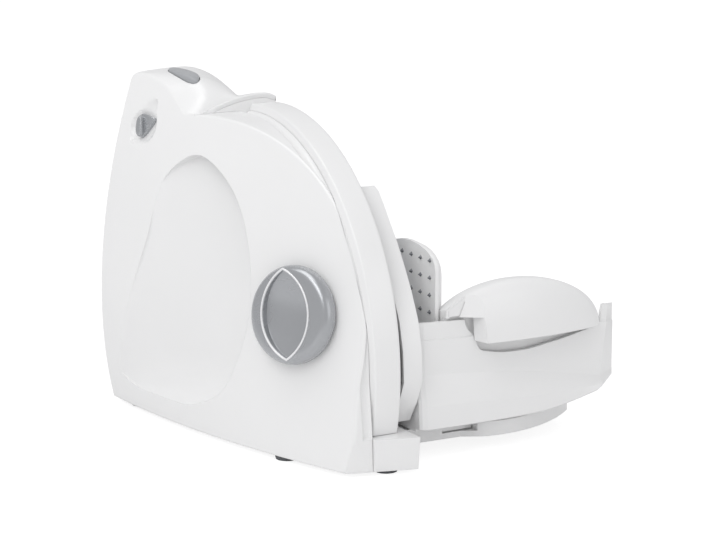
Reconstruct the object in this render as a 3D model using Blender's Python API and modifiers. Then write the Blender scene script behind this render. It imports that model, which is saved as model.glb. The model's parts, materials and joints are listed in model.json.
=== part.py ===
# Household food slicer: motor housing, blade, stop plate, sliding carriage and food holder.
# Sizes are in millimetres, and the meshes are built in metres, +Z up.
# X runs along the blade axis, from the motor housing to the carriage. Y is the carriage
# travel, away from the user. The guard rim's face lies at X = 0 and the table at Z = 0.
import math

import bmesh
import bpy
from mathutils import Matrix, Vector

metre = 0.001

# Clearances
seat_gap = 0.3
running_gap = 0.6

# Housing body
foot_height = 3.0
housing_wall = 2.6
rim_centre = (54.0, 62.0)
rim_radius = 157.5
rim_width = 19.0
rim_lap = 19.5
rim_wall = 3.0
cove_low = 62.0
body_step = 4.5
shell_end = -21.0
near_end = -104.0
far_end_foot = 147.0
far_end_waist = 133.0
far_end_top = 138.0
waist_height = 140.0
housing_top = 238.0
block_height = 25.0
block_reach = 8.0
block_end = -110.0
block_turn = 15.4
block_lean = 6.0

# Hood over the grip
lip_y = 70.0
lip_crest = 226.0
lip_crest_x = -10.0
lip_fall = 0.0055
lip_tip_fall = 0.03
rim_slope_radius = 164.5
ridge_x = -40.0
ridge_run = 0.27
right_fall = 0.013
left_fall = 0.0015
top_rise = 0.03
top_far_y = 138.0
nose_length = 22.0
nose_growth = 40.0
flank_x = -44.0
flank_width = 24.0

# Finger scoop in the housing's face
scoop_depth = 26.0
scoop_near = -10.0
scoop_bottom = 20.0
scoop_blend = 46.0

# Blade and its drive
blade_radius = 80.0
blade_gap = 3.6
blade_axis = (50.0, 107.0)
blade_edge_x = 18.0
blade_thickness = 1.2
blade_dish = 3.5
blade_teeth = 40
spindle_radius = 5.0
hub_radius = 20.0
panel_face = -14.7
panel_thickness = 3.0
neck_radius = 15.0
gear_module = 1.6
wheel_teeth = 30
wheel_width = 8.0
wheel_x = -36.0
worm_radius = 7.0
motor_radius = 17.5
motor_floor = 27.0
motor_top = 84.7
bracket_x = -46.0
bracket_thickness = 3.0
mesh_gap = 0.6

# Thickness adjustment
knob_radius = 32.5
knob_height = 17.0
knob_centre = (-47.2, 98.0)
joint_x = -37.0
ball_radius = 4.6
pin_radius = 1.2
pin_reach = 6.4
pin_play = 0.85
socket_bore = 5.2
socket_radius = 7.8
drum_radius = 7.0
drum_front = -2.5
slice_most = 15.0
knob_turn_most = 270.0
sleeve_wall = 3.0
sleeve_back = -11.0
follower_x = -8.0
guide_bar_radius = 4.0
guide_bar_at = (-52.0, 50.0)

# Stop plate
stop_face_x = 18.0
stop_depth = 14.0
stop_skin = 2.6
stop_bottom = 27.5
stop_top = 176.0

# Base and guide plate
plate_bottom = 9.0
plate_top = 19.0
plate_left = 9.5
plate_right = 168.0
plate_bow = -87.5
plate_bow_x = 88.0
plate_curve = 0.006
plate_near = -78.0
plate_far = 122.0
channel_left = 46.0
channel_width = 24.0
channel_floor = 13.0

# Carriage
table_top = 30.0
table_thickness = 3.6
table_left = 19.6
table_right = 173.5
wall_step_drop = 12.0
wall_step = 0.8
rib_depth = 6.0
wall_y = -91.0
wall_thickness = 3.0
wall_top = 93.5
table_far = 34.0
wall_flare = 5.0
carriage_travel = 105.0

# Food holder
spike_plate_x = 39.9
spike_plate_thickness = 2.8
spike_plate_near = -83.0
spike_plate_far = -8.0
spike_plate_top = 140.0
spike_pitch = 11.4
spike_height = 2.2
dome_centre = (94.5, -91.0, 77.4)
dome_reach = (66.0, 13.5, 38.5)
dome_depth = 40.0
dome_cut = spike_plate_x + 0.8
dome_wall = 2.6
holder_travel = 15.6

# Controls on the grip
button_length = 42.0
button_width = 15.0
button_travel = 2.5
button_proud = 2.2
button_at = (-52.0, 107.0)
lock_radius = 10.5
lock_drop = 36.0
lock_at = (112.0, housing_top - lock_drop)
lock_turn_most = 90.0

# Finishes: colour, roughness, metallic
finishes = {
    "white_plastic": ("EDEEEF", 0.28, 0.0),
    "light_grey_plastic": ("C9CBCD", 0.38, 0.0),
    "satin_silver": ("B9BBBE", 0.32, 0.85),
    "button_grey": ("A9ACAF", 0.42, 0.0),
    "stainless": ("C4C7CA", 0.25, 1.0),
    "dark_steel": ("6E7175", 0.4, 1.0),
    "nylon": ("E4DFD0", 0.5, 0.0),
    "copper": ("B5713C", 0.4, 1.0),
    "black_plastic": ("26272A", 0.5, 0.0),
    "grey_rubber": ("6B6D70", 0.8, 0.0),
}


def clear_scene():
    for obj in list(bpy.data.objects):
        bpy.data.objects.remove(obj, do_unlink=True)


def collection(name):
    made = bpy.data.collections.new(name)
    bpy.context.scene.collection.children.link(made)
    return made


def to_linear(hex_colour):
    channels = [int(hex_colour[i : i + 2], 16) / 255 for i in (0, 2, 4)]
    linear = [c / 12.92 if c <= 0.04045 else ((c + 0.055) / 1.055) ** 2.4 for c in channels]
    return (*linear, 1.0)


def make_material(node_name, finish):
    colour, roughness, metallic = finishes[finish]
    material = bpy.data.materials.new(f"{node_name}_{finish}")
    material.use_nodes = True
    shader = material.node_tree.nodes["Principled BSDF"]
    shader.inputs["Base Color"].default_value = to_linear(colour)
    shader.inputs["Roughness"].default_value = roughness
    shader.inputs["Metallic"].default_value = metallic
    return material


clear_scene()
parts = collection("food_slicer")
cutters = collection("cutters")
frame = bpy.data.objects.new("slicer_frame", None)
parts.objects.link(frame)


# Shape makers: each returns a bmesh in millimetres
def box(low, high):
    bm = bmesh.new()
    size = [h - l for l, h in zip(low, high)]
    middle = [(h + l) / 2 for l, h in zip(low, high)]
    matrix = Matrix.Translation(middle) @ Matrix.Diagonal((*size, 1.0))
    bmesh.ops.create_cube(bm, size=1.0, matrix=matrix)
    return bm


def rod(start, end, radius, end_radius=None, segments=24):
    bm = bmesh.new()
    along = Vector(end) - Vector(start)
    turn = Vector((0, 0, 1)).rotation_difference(along).to_matrix().to_4x4()
    bmesh.ops.create_cone(
        bm,
        cap_ends=True,
        segments=segments,
        radius1=radius,
        radius2=radius if end_radius is None else end_radius,
        depth=along.length,
        matrix=Matrix.Translation((Vector(start) + Vector(end)) / 2) @ turn,
    )
    return bm


def loft(rings):
    """A closed solid through rings of equally many points, with a cap at each end."""
    bm = bmesh.new()
    rows = [[bm.verts.new(point) for point in ring] for ring in rings]
    count = len(rows[0])
    for row, following in zip(rows, rows[1:]):
        for i in range(count):
            j = (i + 1) % count
            bm.faces.new((row[i], row[j], following[j], following[i]))
    bm.faces.new(rows[0])
    bm.faces.new(rows[-1])
    bmesh.ops.recalc_face_normals(bm, faces=bm.faces[:])
    return bm


def slab(outline, low, high, axis):
    """A flat outline made thick along X, Y or Z. Outlines are (Y, Z), (X, Z) or (X, Y)."""
    curve = bpy.data.curves.new("outline", "CURVE")
    curve.dimensions = "2D"
    curve.fill_mode = "BOTH"
    curve.extrude = (high - low) / 2
    spline = curve.splines.new("POLY")
    spline.points.add(len(outline) - 1)
    flat = [(b, a) for a, b in outline] if axis == "Y" else outline
    for point, (u, v) in zip(spline.points, flat):
        point.co = (u, v, 0.0, 1.0)
    spline.use_cyclic_u = True
    holder = bpy.data.objects.new("outline", curve)
    bpy.context.scene.collection.objects.link(holder)
    evaluated = holder.evaluated_get(bpy.context.evaluated_depsgraph_get())
    mesh = bpy.data.meshes.new_from_object(evaluated)
    bm = bmesh.new()
    bm.from_mesh(mesh)
    bpy.data.objects.remove(holder, do_unlink=True)
    bpy.data.meshes.remove(mesh)
    bmesh.ops.remove_doubles(bm, verts=bm.verts[:], dist=0.001)
    middle = (low + high) / 2
    columns = {
        "X": ((0, 1, 0), (0, 0, 1), (1, 0, 0)),
        "Y": ((0, 0, 1), (1, 0, 0), (0, 1, 0)),
        "Z": ((1, 0, 0), (0, 1, 0), (0, 0, 1)),
    }[axis]
    turn = Matrix(columns).transposed().to_4x4()
    turn.translation = Vector(columns[2]) * middle
    bmesh.ops.transform(bm, matrix=turn, verts=bm.verts[:])
    bmesh.ops.recalc_face_normals(bm, faces=bm.faces[:])
    return bm


def add_object(name, bm, group, at, turn):
    bmesh.ops.scale(bm, vec=(metre, metre, metre), verts=bm.verts[:])
    mesh = bpy.data.meshes.new(name)
    bm.to_mesh(mesh)
    bm.free()
    obj = bpy.data.objects.new(name, mesh)
    obj.location = Vector(at) * metre
    obj.rotation_mode = "QUATERNION"
    if turn is not None:
        obj.rotation_quaternion = turn
    obj.parent = frame
    group.objects.link(obj)
    return obj


def part(name, bm, finish, at=(0, 0, 0), turn=None, smooth=30):
    obj = add_object(name, bm, parts, at, turn)
    obj.data.shade_smooth()
    obj.data.set_sharp_from_angle(angle=math.radians(smooth))
    obj.data.materials.append(make_material(name, finish))
    return obj


def cutter(name, bm, at=(0, 0, 0), turn=None):
    obj = add_object(name, bm, cutters, at, turn)
    obj.hide_render = True
    obj.display_type = "WIRE"
    return obj


def combine(target, other, operation):
    modifier = target.modifiers.new(f"{operation.lower()}_{other.name}", "BOOLEAN")
    modifier.operation = operation
    modifier.solver = "EXACT"
    modifier.object = other


def cut(target, *others):
    for other in others:
        combine(target, other, "DIFFERENCE")


def join(target, *others):
    for other in others:
        combine(target, other, "UNION")


def keep(target, *others):
    for other in others:
        combine(target, other, "INTERSECT")


def turned(name, profile, steps, finish=None, at=(0, 0, 0), turn=None):
    """A profile of (radius, height), down its outer side, turned round the local Z axis."""
    bm = bmesh.new()
    points = [bm.verts.new((radius, 0.0, height)) for radius, height in profile]
    for first, second in zip(points, points[1:]):
        bm.edges.new((first, second))
    if profile[0][0] > 0 and profile[-1][0] > 0:
        bm.edges.new((points[-1], points[0]))
    if finish is None:
        obj = cutter(name, bm, at, turn)
    else:
        obj = part(name, bm, finish, at, turn)
    screw = obj.modifiers.new("turn", "SCREW")
    screw.steps = steps
    screw.render_steps = steps
    screw.use_merge_vertices = True
    screw.merge_threshold = 0.00001
    screw.use_smooth_shade = True
    return obj


def arc(centre, radius, first, last, steps):
    """Points on a circle between two angles in degrees, both ends included."""
    angles = [math.radians(first + (last - first) * i / steps) for i in range(steps + 1)]
    return [(centre[0] + radius * math.cos(a), centre[1] + radius * math.sin(a)) for a in angles]


def smooth_loop(points, per_span):
    """A closed smooth curve through points, by Catmull-Rom spans."""
    loop = []
    count = len(points)
    for i in range(count):
        before, first, second, after = (Vector(points[(i + k - 1) % count]) for k in range(4))
        for j in range(per_span):
            t = j / per_span
            point = 0.5 * (
                2 * first
                + (second - before) * t
                + (2 * before - 5 * first + 4 * second - after) * t**2
                + (3 * first - before - 3 * second + after) * t**3
            )
            loop.append(tuple(point))
    return loop


along_x = Vector((0, 0, 1)).rotation_difference(Vector((1, 0, 0)))


# Housing face: it leans in towards the near end, flares out at its foot and bulges in plan
def through(levels, values, at):
    """The quadratic through three values."""
    (a, b, c), (p, q, r) = levels, values
    first, second = (q - p) / (b - a), (r - q) / (c - b)
    return p + first * (at - a) + (second - first) / (c - a) * (at - a) * (at - b)


face_levels = (3.0, 80.0, 200.0)
face_near = (40.0, 25.5, -14.7)
face_slope = (0.225, 0.346, 0.448)
face_bulge = 1400.0
face_from, face_to = -97.0, 130.0


def face_x(y, z, inset=0.0):
    offset = through(face_levels, face_near, z)
    slope = through(face_levels, face_slope, z)
    plan = (y - face_from) * (face_to - y) / face_bulge
    return inset - (offset + slope * (y - face_from) + plan)


def face_normal(y, z):
    step = 0.5
    by_y = (face_x(y + step, z) - face_x(y - step, z)) / (2 * step)
    by_z = (face_x(y, z + step) - face_x(y, z - step)) / (2 * step)
    return Vector((-1.0, by_y, by_z)).normalized()


def spread(low, high, count):
    return [low + (high - low) * i / count for i in range(count + 1)]


def face_block(inset, back, low, high, columns, rows):
    """The solid between the housing's face and a flat back, over a Y and Z range."""
    rings = []
    for y in spread(low[0], high[0], columns):
        ring = [(min(face_x(y, z, inset), back - 1.0), y, z) for z in spread(low[1], high[1], rows)]
        rings.append([(back, y, low[1]), *ring, (back, y, high[1])])
    return loft(rings)


def far_end(z):
    return through((foot_height, waist_height, 225.0), (far_end_foot, far_end_waist, far_end_top), z)


def disc_outline(inset, round_inset, floor):
    """The round near end and top of the housing, down to its floor."""
    radius = rim_radius - body_step - round_inset
    round_edge = arc(rim_centre, radius, 180.0, 40.0, 40)
    far_edge = [(far_end(z) - inset, z) for z in spread(150.0, floor, 6)]
    near_foot = [(near_end + round_inset, floor), (near_end + 1.0 + round_inset, 30.0)]
    kept = [(y, z) for y, z in round_edge if y < far_end(z) - inset - 2.0]
    return kept + far_edge + near_foot


def roof_z(x, y):
    """The hood's height: a nose that rises behind the lip into a long rounded top."""
    flank = min(max((flank_x - x) / flank_width, 0.0), 1.0)
    lip_bend = lip_fall if x < lip_crest_x else lip_tip_fall
    depth = y - rim_centre[0]
    drop = math.sqrt(rim_slope_radius**2 - (lip_y - rim_centre[0]) ** 2)
    drop -= math.sqrt(rim_slope_radius**2 - depth**2)
    low = lip_crest - lip_bend * (x - lip_crest_x) ** 2 - 1.25 * drop
    crest_x = ridge_x - ridge_run * (top_far_y - y)
    side_fall = right_fall if x > crest_x else left_fall
    high = housing_top - side_fall * (x - crest_x) ** 2 - top_rise * (top_far_y - y)
    length = nose_length + nose_growth * flank**1.2
    back = min(max(1.0 - (y - lip_y) / length, 0.0), 1.0)
    return low + max(high - low, 0.0) * (1.0 - back**2) ** (0.5 + flank)


def hood_block(inset, floor, back):
    """The hood from its lip to the far end; an inset moves its roof down and its nose back."""
    rings = []
    columns = [-125.0, *spread(-84.0, 0.0, 12), back]
    reach = far_end_foot + 3.0 - lip_y
    for share in spread(0.0, 1.0, 12):
        y = lip_y + reach * share**1.8
        roof = []
        for x in columns:
            roof.append((x, y + inset, max(roof_z(min(x, 0.0), y) - inset, floor + 2.0)))
        rings.append([(columns[0], y + inset, floor), *roof, (back, y + inset, floor)])
    return loft(rings)


def far_trim(inset):
    """The part of space before the housing's waisted far end."""
    edge = [(far_end(z) - inset, z) for z in spread(-8.0, 250.0, 12)]
    return slab([(-140.0, -8.0), *edge, (-140.0, 250.0)], -140.0, 20.0, "X")


scoop_outline = smooth_loop(
    [(58, 189), (26, 174), (4, 146), (-9, 108), (-8, 72), (8, 38), (42, 21), (88, 19), (124, 28),
     (120, 58), (100, 92), (87, 130), (82, 168)],
    3,
)


def scoop_edge(z):
    """Where the scoop's floor runs out into the face, on its far side."""
    return through((30.0, 95.0, 170.0), (124.0, 99.0, 82.0), z)


def scoop_floor(y, z):
    """How deep the scoop is: deepest at its near edge, and blended out at its far side and foot."""
    across = min(max((y - scoop_near) / (scoop_edge(z) - scoop_near), 0.0), 1.0)
    rise = min(max((z - scoop_bottom) / scoop_blend, 0.0), 1.0)
    return scoop_depth * (1.0 - across**2) * math.sqrt(rise * (2.0 - rise))


def scoop_block(inset, columns, rows):
    """The scoop's hollow, or with an inset the skin round it."""
    rings = []
    for y in spread(-22.0, 140.0, columns):
        floor = []
        for z in spread(8.0, 200.0, rows):
            floor.append((face_x(y, z) + scoop_floor(y, z) + inset, y, z))
        rings.append([(-140.0, y, 8.0), *floor, (-140.0, y, 200.0)])
    return loft(rings)


def grown(outline, by):
    """An outline moved outwards from its middle, each point along its own normal."""
    count = len(outline)
    area = sum(
        outline[i][0] * outline[(i + 1) % count][1] - outline[(i + 1) % count][0] * outline[i][1]
        for i in range(count)
    )
    side = 1.0 if area > 0 else -1.0
    moved = []
    for i in range(count):
        along = Vector(outline[(i + 1) % count]) - Vector(outline[i - 1])
        normal = Vector((along.y, -along.x)).normalized() * side
        moved.append(tuple(Vector(outline[i]) + normal * by))
    return moved


def end_plane(inset):
    """Everything beyond the block's end face, which is turned and leans out upwards."""
    turn = Matrix.Rotation(math.radians(-block_turn), 4, "Z")
    lean = Matrix.Rotation(math.radians(block_lean), 4, "X")
    bm = box((-90.0, -60.0, -20.0), (60.0, 0.0, 90.0))
    place = Matrix.Translation((0.0, block_end + inset, foot_height)) @ turn @ lean
    bmesh.ops.transform(bm, matrix=place, verts=bm.verts[:])
    return bm


def housing_form(name, inset, round_inset, floor):
    """The housing's side outline, run along X: the round body and the hood over it."""
    form = cutter(f"{name}_form", slab(disc_outline(inset, round_inset, floor), -140.0, 20.0, "X"))
    hood = cutter(f"{name}_hood", hood_block(inset, 120.0 - inset, 24.0 - inset))
    keep(hood, cutter(f"{name}_far", far_trim(inset)))
    join(form, hood)
    return form


# Housing shell
grid_low, grid_high = (-125.0, foot_height), (160.0, 250.0)
shell = part("housing_shell", face_block(0.0, 0.0, grid_low, grid_high, 16, 12), "white_plastic")
keep(shell, housing_form("outer", 0.0, 0.0, foot_height))
hollow_inset = housing_wall + 0.6
hollow = cutter("housing_hollow", face_block(hollow_inset, 6.0, (-125.0, -8.0), grid_high, 16, 12))
keep(hollow, housing_form("inner", housing_wall, body_step + 0.5, -8.0))
skin = cutter("scoop_skin", scoop_block(housing_wall + 0.4, 12, 10))
skin_edge = slab(grown(scoop_outline, housing_wall), -139.0, 18.0, "X")
keep(skin, cutter("scoop_skin_outline", skin_edge))
cut(hollow, skin, cutter("inner_end_plane", end_plane(housing_wall + 0.4)))
cut(shell, hollow)
scoop = cutter("scoop_hollow", scoop_block(0.0, 16, 14))
keep(scoop, cutter("scoop_outline", slab(scoop_outline, -139.0, 18.0, "X")))
cut(shell, scoop)
rim_room = cutter("rim_room", box((shell_end, -140.0, block_height), (30.0, lip_y - seat_gap, 260.0)))
bar_room = cutter("bar_room", box((shell_end, -140.0, -10.0), (30.0, 170.0, block_height + seat_gap)))
cut(shell, rim_room, bar_room, cutter("shell_end_plane", end_plane(0.0)))

# Cove behind the rim
cove_circle = [
    (155.4 + 4.4 * math.sin(math.radians(a)), -24.6 + 4.0 * math.cos(math.radians(a)))
    for a in range(0, 360, 45)
]
cove = turned("cove", cove_circle, 72, at=(0.0, *rim_centre), turn=along_x)
keep(cove, cutter("cove_reach", box((-40.0, -130.0, cove_low), (0.0, lip_y - 1.0, 230.0))))
cut(shell, cove)

# Guard rim: the plain flange round the near end and top
rim = turned(
    "guard_rim",
    [(rim_radius - rim_wall, 0.0), (rim_radius - 0.8, 0.0), (rim_radius, -0.8),
     (rim_radius, -rim_width + 0.8), (rim_radius - 0.8, -rim_width), (rim_radius - 4.2, -20.7),
     (rim_radius - rim_lap, -20.7), (rim_radius - rim_lap, -18.0), (rim_radius - rim_wall, -18.0)],
    96,
    "white_plastic",
    at=(0.0, *rim_centre),
    turn=along_x,
)
rim_near, rim_far = rim_centre[0] - rim_radius - 10.0, rim_centre[0] + rim_radius + 10.0
rim_low, rim_high = rim_centre[1] - rim_radius - 10.0, rim_centre[1] + rim_radius + 10.0
cut(
    rim,
    cutter("rim_far_cut", box((-40.0, lip_y - seat_gap, rim_low), (20.0, rim_far, rim_high))),
    cutter("rim_low_cut", box((-40.0, rim_near, rim_low), (20.0, rim_far, block_height + seat_gap))),
)

# Base bar under the housing, with the block that shows at its near end
bar = part("base_bar", box((shell_end + seat_gap, -125.0, foot_height), (block_reach, 160.0, block_height)), "white_plastic")
keep(bar, cutter("bar_far", far_trim(0.0)))
cut(bar, cutter("bar_end_plane", end_plane(0.0)))
for index, (low, high) in enumerate(((-82.0, -68.0), (-32.0, 44.0), (86.0, 112.0))):
    cut(bar, cutter(f"bar_pocket_{index}", box((-17.7, low, -1.0), (5.0, high, block_height - 3.0))))

# Panel behind the blade, with the spindle neck and the bosses for the stop plate
spindle_y, spindle_z = blade_axis
knob_out = face_normal(*knob_centre)
knob_base = Vector((face_x(*knob_centre), *knob_centre)) + knob_out * 0.8
joint_at = knob_base + knob_out * ((joint_x - knob_base.x) / knob_out.x)
drum_axis = (joint_at.y, joint_at.z)
sleeve_bore = drum_radius + seat_gap
sleeve_radius = sleeve_bore + sleeve_wall
panel_back = panel_face - panel_thickness
panel = part("inner_panel", box((panel_back, -110.0, block_height + seat_gap), (panel_face, 150.0, 245.0)), "white_plastic")
keep(panel, housing_form("panel", housing_wall + seat_gap + 0.4, body_step + 0.5 + seat_gap, 10.0))
cut(panel, cutter("panel_foot_cut", box((-40.0, -130.0, 0.0), (20.0, -95.7, 60.0))))
join(
    panel,
    cutter("neck", rod((panel_back + 1.0, *blade_axis), (3.0, *blade_axis), neck_radius, segments=32)),
    cutter("sleeve_boss", rod((-25.0, *drum_axis), (panel_face - 0.5, *drum_axis), sleeve_radius + 3.0, segments=32)),
    cutter("bar_boss", rod((-26.0, *guide_bar_at), (panel_face - 0.5, *guide_bar_at), 7.5)),
)
cut(
    panel,
    cutter("neck_bore", rod((-30.0, *blade_axis), (10.0, *blade_axis), spindle_radius + seat_gap)),
    cutter("sleeve_hole", rod((-30.0, *drum_axis), (0.0, *drum_axis), sleeve_radius + seat_gap, segments=32)),
    cutter("bar_hole", rod((-30.0, *guide_bar_at), (0.0, *guide_bar_at), guide_bar_radius + seat_gap)),
)

# Bottom cover
cover_side = [(max(face_x(y, 3.0), face_x(y, 6.5)) + hollow_inset + 1.0, y) for y in spread(-92.0, 143.0, 12)]
cover = part("bottom_cover", slab([(-21.3, -92.0), *cover_side, (-21.3, 143.0)], 3.3, 5.9, "Z"), "light_grey_plastic")

# Rubber feet
feet = [
    (-7.0, -96.0, 0.0, 2.7), (-7.0, 126.0, 0.0, 2.7), (-78.0, 128.0, 0.0, 3.0),
    (-50.0, -40.0, 0.0, 3.0), (128.0, -26.0, 0.0, plate_bottom - seat_gap),
    (132.0, 96.0, 0.0, plate_bottom - seat_gap),
]
for index, (x, y, low, high) in enumerate(feet):
    part(f"foot_{index + 1}", rod((x, y, low), (x, y, high), 7.5, 8.5), "grey_rubber")

# Blade, hub and spindle
def toothed(radius, x):
    ring = []
    for i in range(blade_teeth * 2):
        a = math.tau * i / (blade_teeth * 2)
        r = radius - (0.8 if i % 2 and radius > blade_radius - 1.0 else 0.0)
        ring.append((x, r * math.cos(a), r * math.sin(a)))
    return ring


edge = blade_edge_x
web = edge - blade_dish
blade = part(
    "blade",
    loft([toothed(18.0, web), toothed(55.0, web + 1.2), toothed(74.0, edge - 0.9),
          toothed(blade_radius, edge), toothed(blade_radius, edge - 0.3),
          toothed(72.0, edge - 2.2), toothed(18.0, web - blade_thickness)]),
    "stainless",
    at=(0.0, *blade_axis),
)
cut(blade, cutter("blade_bore", rod((0.0, *blade_axis), (30.0, *blade_axis), spindle_radius + seat_gap)))
hub_back = 3.0 + running_gap
spindle = turned(
    "blade_spindle",
    [(0.0, web), (spindle_radius, web), (spindle_radius, web - blade_thickness - seat_gap),
     (hub_radius, web - blade_thickness - seat_gap), (hub_radius, hub_back), (spindle_radius, hub_back),
     (spindle_radius, bracket_x - 1.0), (0.0, bracket_x - 1.0)],
    32,
    "dark_steel",
    at=(0.0, *blade_axis),
    turn=along_x,
)
cap = turned(
    "blade_screw",
    [(0.0, edge + 0.6), (9.0, edge + 0.4), (15.0, edge - 0.8), (17.0, web + seat_gap), (0.0, web + seat_gap)],
    32,
    "dark_steel",
    at=(0.0, *blade_axis),
    turn=along_x,
)
cut(cap, cutter("screw_slot", box((edge - 0.6, spindle_y - 12.0, spindle_z - 1.2), (edge + 4.0, spindle_y + 12.0, spindle_z + 1.2))))


# Worm wheel and motor
def gear_outline(teeth, tip, root):
    points = []
    for i in range(teeth):
        for share, radius in ((-0.34, root), (-0.16, tip), (0.16, tip), (0.34, root)):
            a = math.tau * (i + share) / teeth
            points.append((spindle_y + radius * math.cos(a), spindle_z + radius * math.sin(a)))
    return points


pitch_radius = gear_module * wheel_teeth / 2
wheel_tip = pitch_radius - mesh_gap / 2
wheel = part(
    "worm_wheel",
    slab(gear_outline(wheel_teeth, wheel_tip, wheel_tip - 2.6), wheel_x - wheel_width / 2, wheel_x + wheel_width / 2, "X"),
    "nylon",
)
join(wheel, cutter("wheel_boss", rod((wheel_x - 5.5, *blade_axis), (wheel_x + 12.0, *blade_axis), 10.0)))
cut(wheel, cutter("wheel_bore", rod((wheel_x - 9.0, *blade_axis), (wheel_x + 14.0, *blade_axis), spindle_radius + 0.05)))
motor_y = spindle_y + pitch_radius + worm_radius
worm_tip = worm_radius - mesh_gap / 2
thread = math.pi * gear_module
worm_profile = []
for i in range(5):
    z = spindle_z + (2 - i) * thread
    worm_profile += [(worm_tip - 2.0, z + 1.9), (worm_tip, z + 0.9), (worm_tip, z - 0.9), (worm_tip - 2.0, z - 1.9)]
armature = turned(
    "motor_armature",
    [(0.0, spindle_z + 17.0), (2.5, spindle_z + 17.0), (2.5, spindle_z + 14.0), *worm_profile,
     (2.5, spindle_z - 14.0), (2.5, 80.0), (5.5, 80.0), (5.5, 74.0), (2.5, 74.0), (2.5, 70.0),
     (12.5, 70.0), (12.5, 38.0), (2.5, 38.0), (2.5, 31.0), (0.0, 31.0)],
    16,
    "copper",
    at=(wheel_x, motor_y, 0.0),
)
can = turned(
    "motor_can",
    [(3.4, motor_top), (motor_radius - 1.0, motor_top), (motor_radius, motor_top - 1.0),
     (motor_radius, motor_floor), (0.0, motor_floor), (0.0, motor_floor + 1.5),
     (motor_radius - 1.5, motor_floor + 1.5), (motor_radius - 1.5, motor_top - 2.0), (3.4, motor_top - 2.0)],
    24,
    "dark_steel",
    at=(wheel_x, motor_y, 0.0),
)

# Bracket that holds the motor and the spindle's back bearing
ledge = motor_top + seat_gap
bracket_edge = [
    (spindle_y - 6, spindle_z - 36), (spindle_y + 8, spindle_z - 36), (spindle_y + 12, ledge),
    (motor_y + 19, ledge), (motor_y + 19, spindle_z + 24), (spindle_y + 8, spindle_z + 35),
    (spindle_y - 8, spindle_z + 35), (spindle_y - 14, spindle_z + 18), (spindle_y - 14, spindle_z - 18),
]
bracket_front = bracket_x + bracket_thickness
bracket = part("drive_bracket", slab(bracket_edge, bracket_x, bracket_front, "X"), "dark_steel")
join(bracket, cutter("bracket_ledge", box((bracket_x + 0.5, motor_y - 9.0, ledge), (panel_back - seat_gap, motor_y + 19.0, ledge + 3.0))))
for index, (y, z) in enumerate(((spindle_y, spindle_z - 31.0), (spindle_y, spindle_z + 31.0), (motor_y + 15.0, spindle_z + 19.0))):
    join(bracket, cutter(f"pillar_{index}", rod((bracket_x + 1.0, y, z), (panel_back - seat_gap, y, z), 3.5, segments=16)))
cut(
    bracket,
    cutter("bracket_bore", rod((-60.0, *blade_axis), (-40.0, *blade_axis), spindle_radius + seat_gap)),
    cutter("shaft_bore", rod((wheel_x, motor_y, 70.0), (wheel_x, motor_y, 94.0), 3.4)),
)

# Thickness knob, its shaft, and the ball and pin that turn the cam drum
knob_turn = Vector((0, 0, 1)).rotation_difference(knob_out)
knob = turned(
    "thickness_knob",
    [(0.0, knob_height), (24.0, knob_height), (28.0, knob_height - 1.6), (31.4, knob_height - 6.0),
     (knob_radius, 8.0), (31.8, 2.0), (30.6, 0.0), (0.0, 0.0)],
    40,
    "satin_silver",
    at=knob_base,
    turn=knob_turn,
)
leaf_reach, leaf_half = 27.0, 18.5
leaf_radius = (leaf_reach**2 + leaf_half**2) / (2 * leaf_half)
leaf_angle = math.degrees(math.asin(leaf_reach / leaf_radius))
leaf = arc((0.0, leaf_half - leaf_radius), leaf_radius, 90 - leaf_angle, 90 + leaf_angle, 10)
leaf += arc((0.0, leaf_radius - leaf_half), leaf_radius, 270 - leaf_angle, 270 + leaf_angle, 10)[1:-1]
leaf_cut = cutter("leaf_cut", slab(leaf, 3.0, 40.0, "Z"), at=knob_base, turn=knob_turn)
ball_bm = bmesh.new()
bmesh.ops.create_uvsphere(ball_bm, u_segments=32, v_segments=20, radius=34.0, matrix=Matrix.Translation((0, 0, knob_height + 22.0)))
leaf_floor = cutter("leaf_floor", ball_bm, at=knob_base, turn=knob_turn)
keep(leaf_cut, leaf_floor)
cut(knob, leaf_cut, cutter("knob_bore", rod((0, 0, -5.0), (0, 0, 3.0), 3.3), at=knob_base, turn=knob_turn))
joint_depth = (joint_at - knob_base).dot(knob_out)
shaft_bm = rod((0, 0, joint_depth + 2.0), (0, 0, 2.6), 2.2, 3.0)
shaft = part("knob_shaft", shaft_bm, "dark_steel", at=knob_base, turn=knob_turn)
end_bm = bmesh.new()
bmesh.ops.create_uvsphere(end_bm, u_segments=20, v_segments=12, radius=ball_radius, matrix=Matrix.Translation((0, 0, joint_depth)))
join(shaft, cutter("shaft_ball", end_bm, at=knob_base, turn=knob_turn))
cut(shaft, cutter("pin_hole", rod((-9, 0, joint_depth), (9, 0, joint_depth), pin_radius + 0.05, segments=12), at=knob_base, turn=knob_turn))
pin = part("cross_pin", rod((-pin_reach, 0, joint_depth), (pin_reach, 0, joint_depth), pin_radius, segments=12), "dark_steel", at=knob_base, turn=knob_turn)
shell_hole = cutter("knob_hole", rod((0, 0, -9.0), (0, 0, 6.0), 5.0), at=knob_base, turn=knob_turn)
cut(shell, shell_hole)

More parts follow.
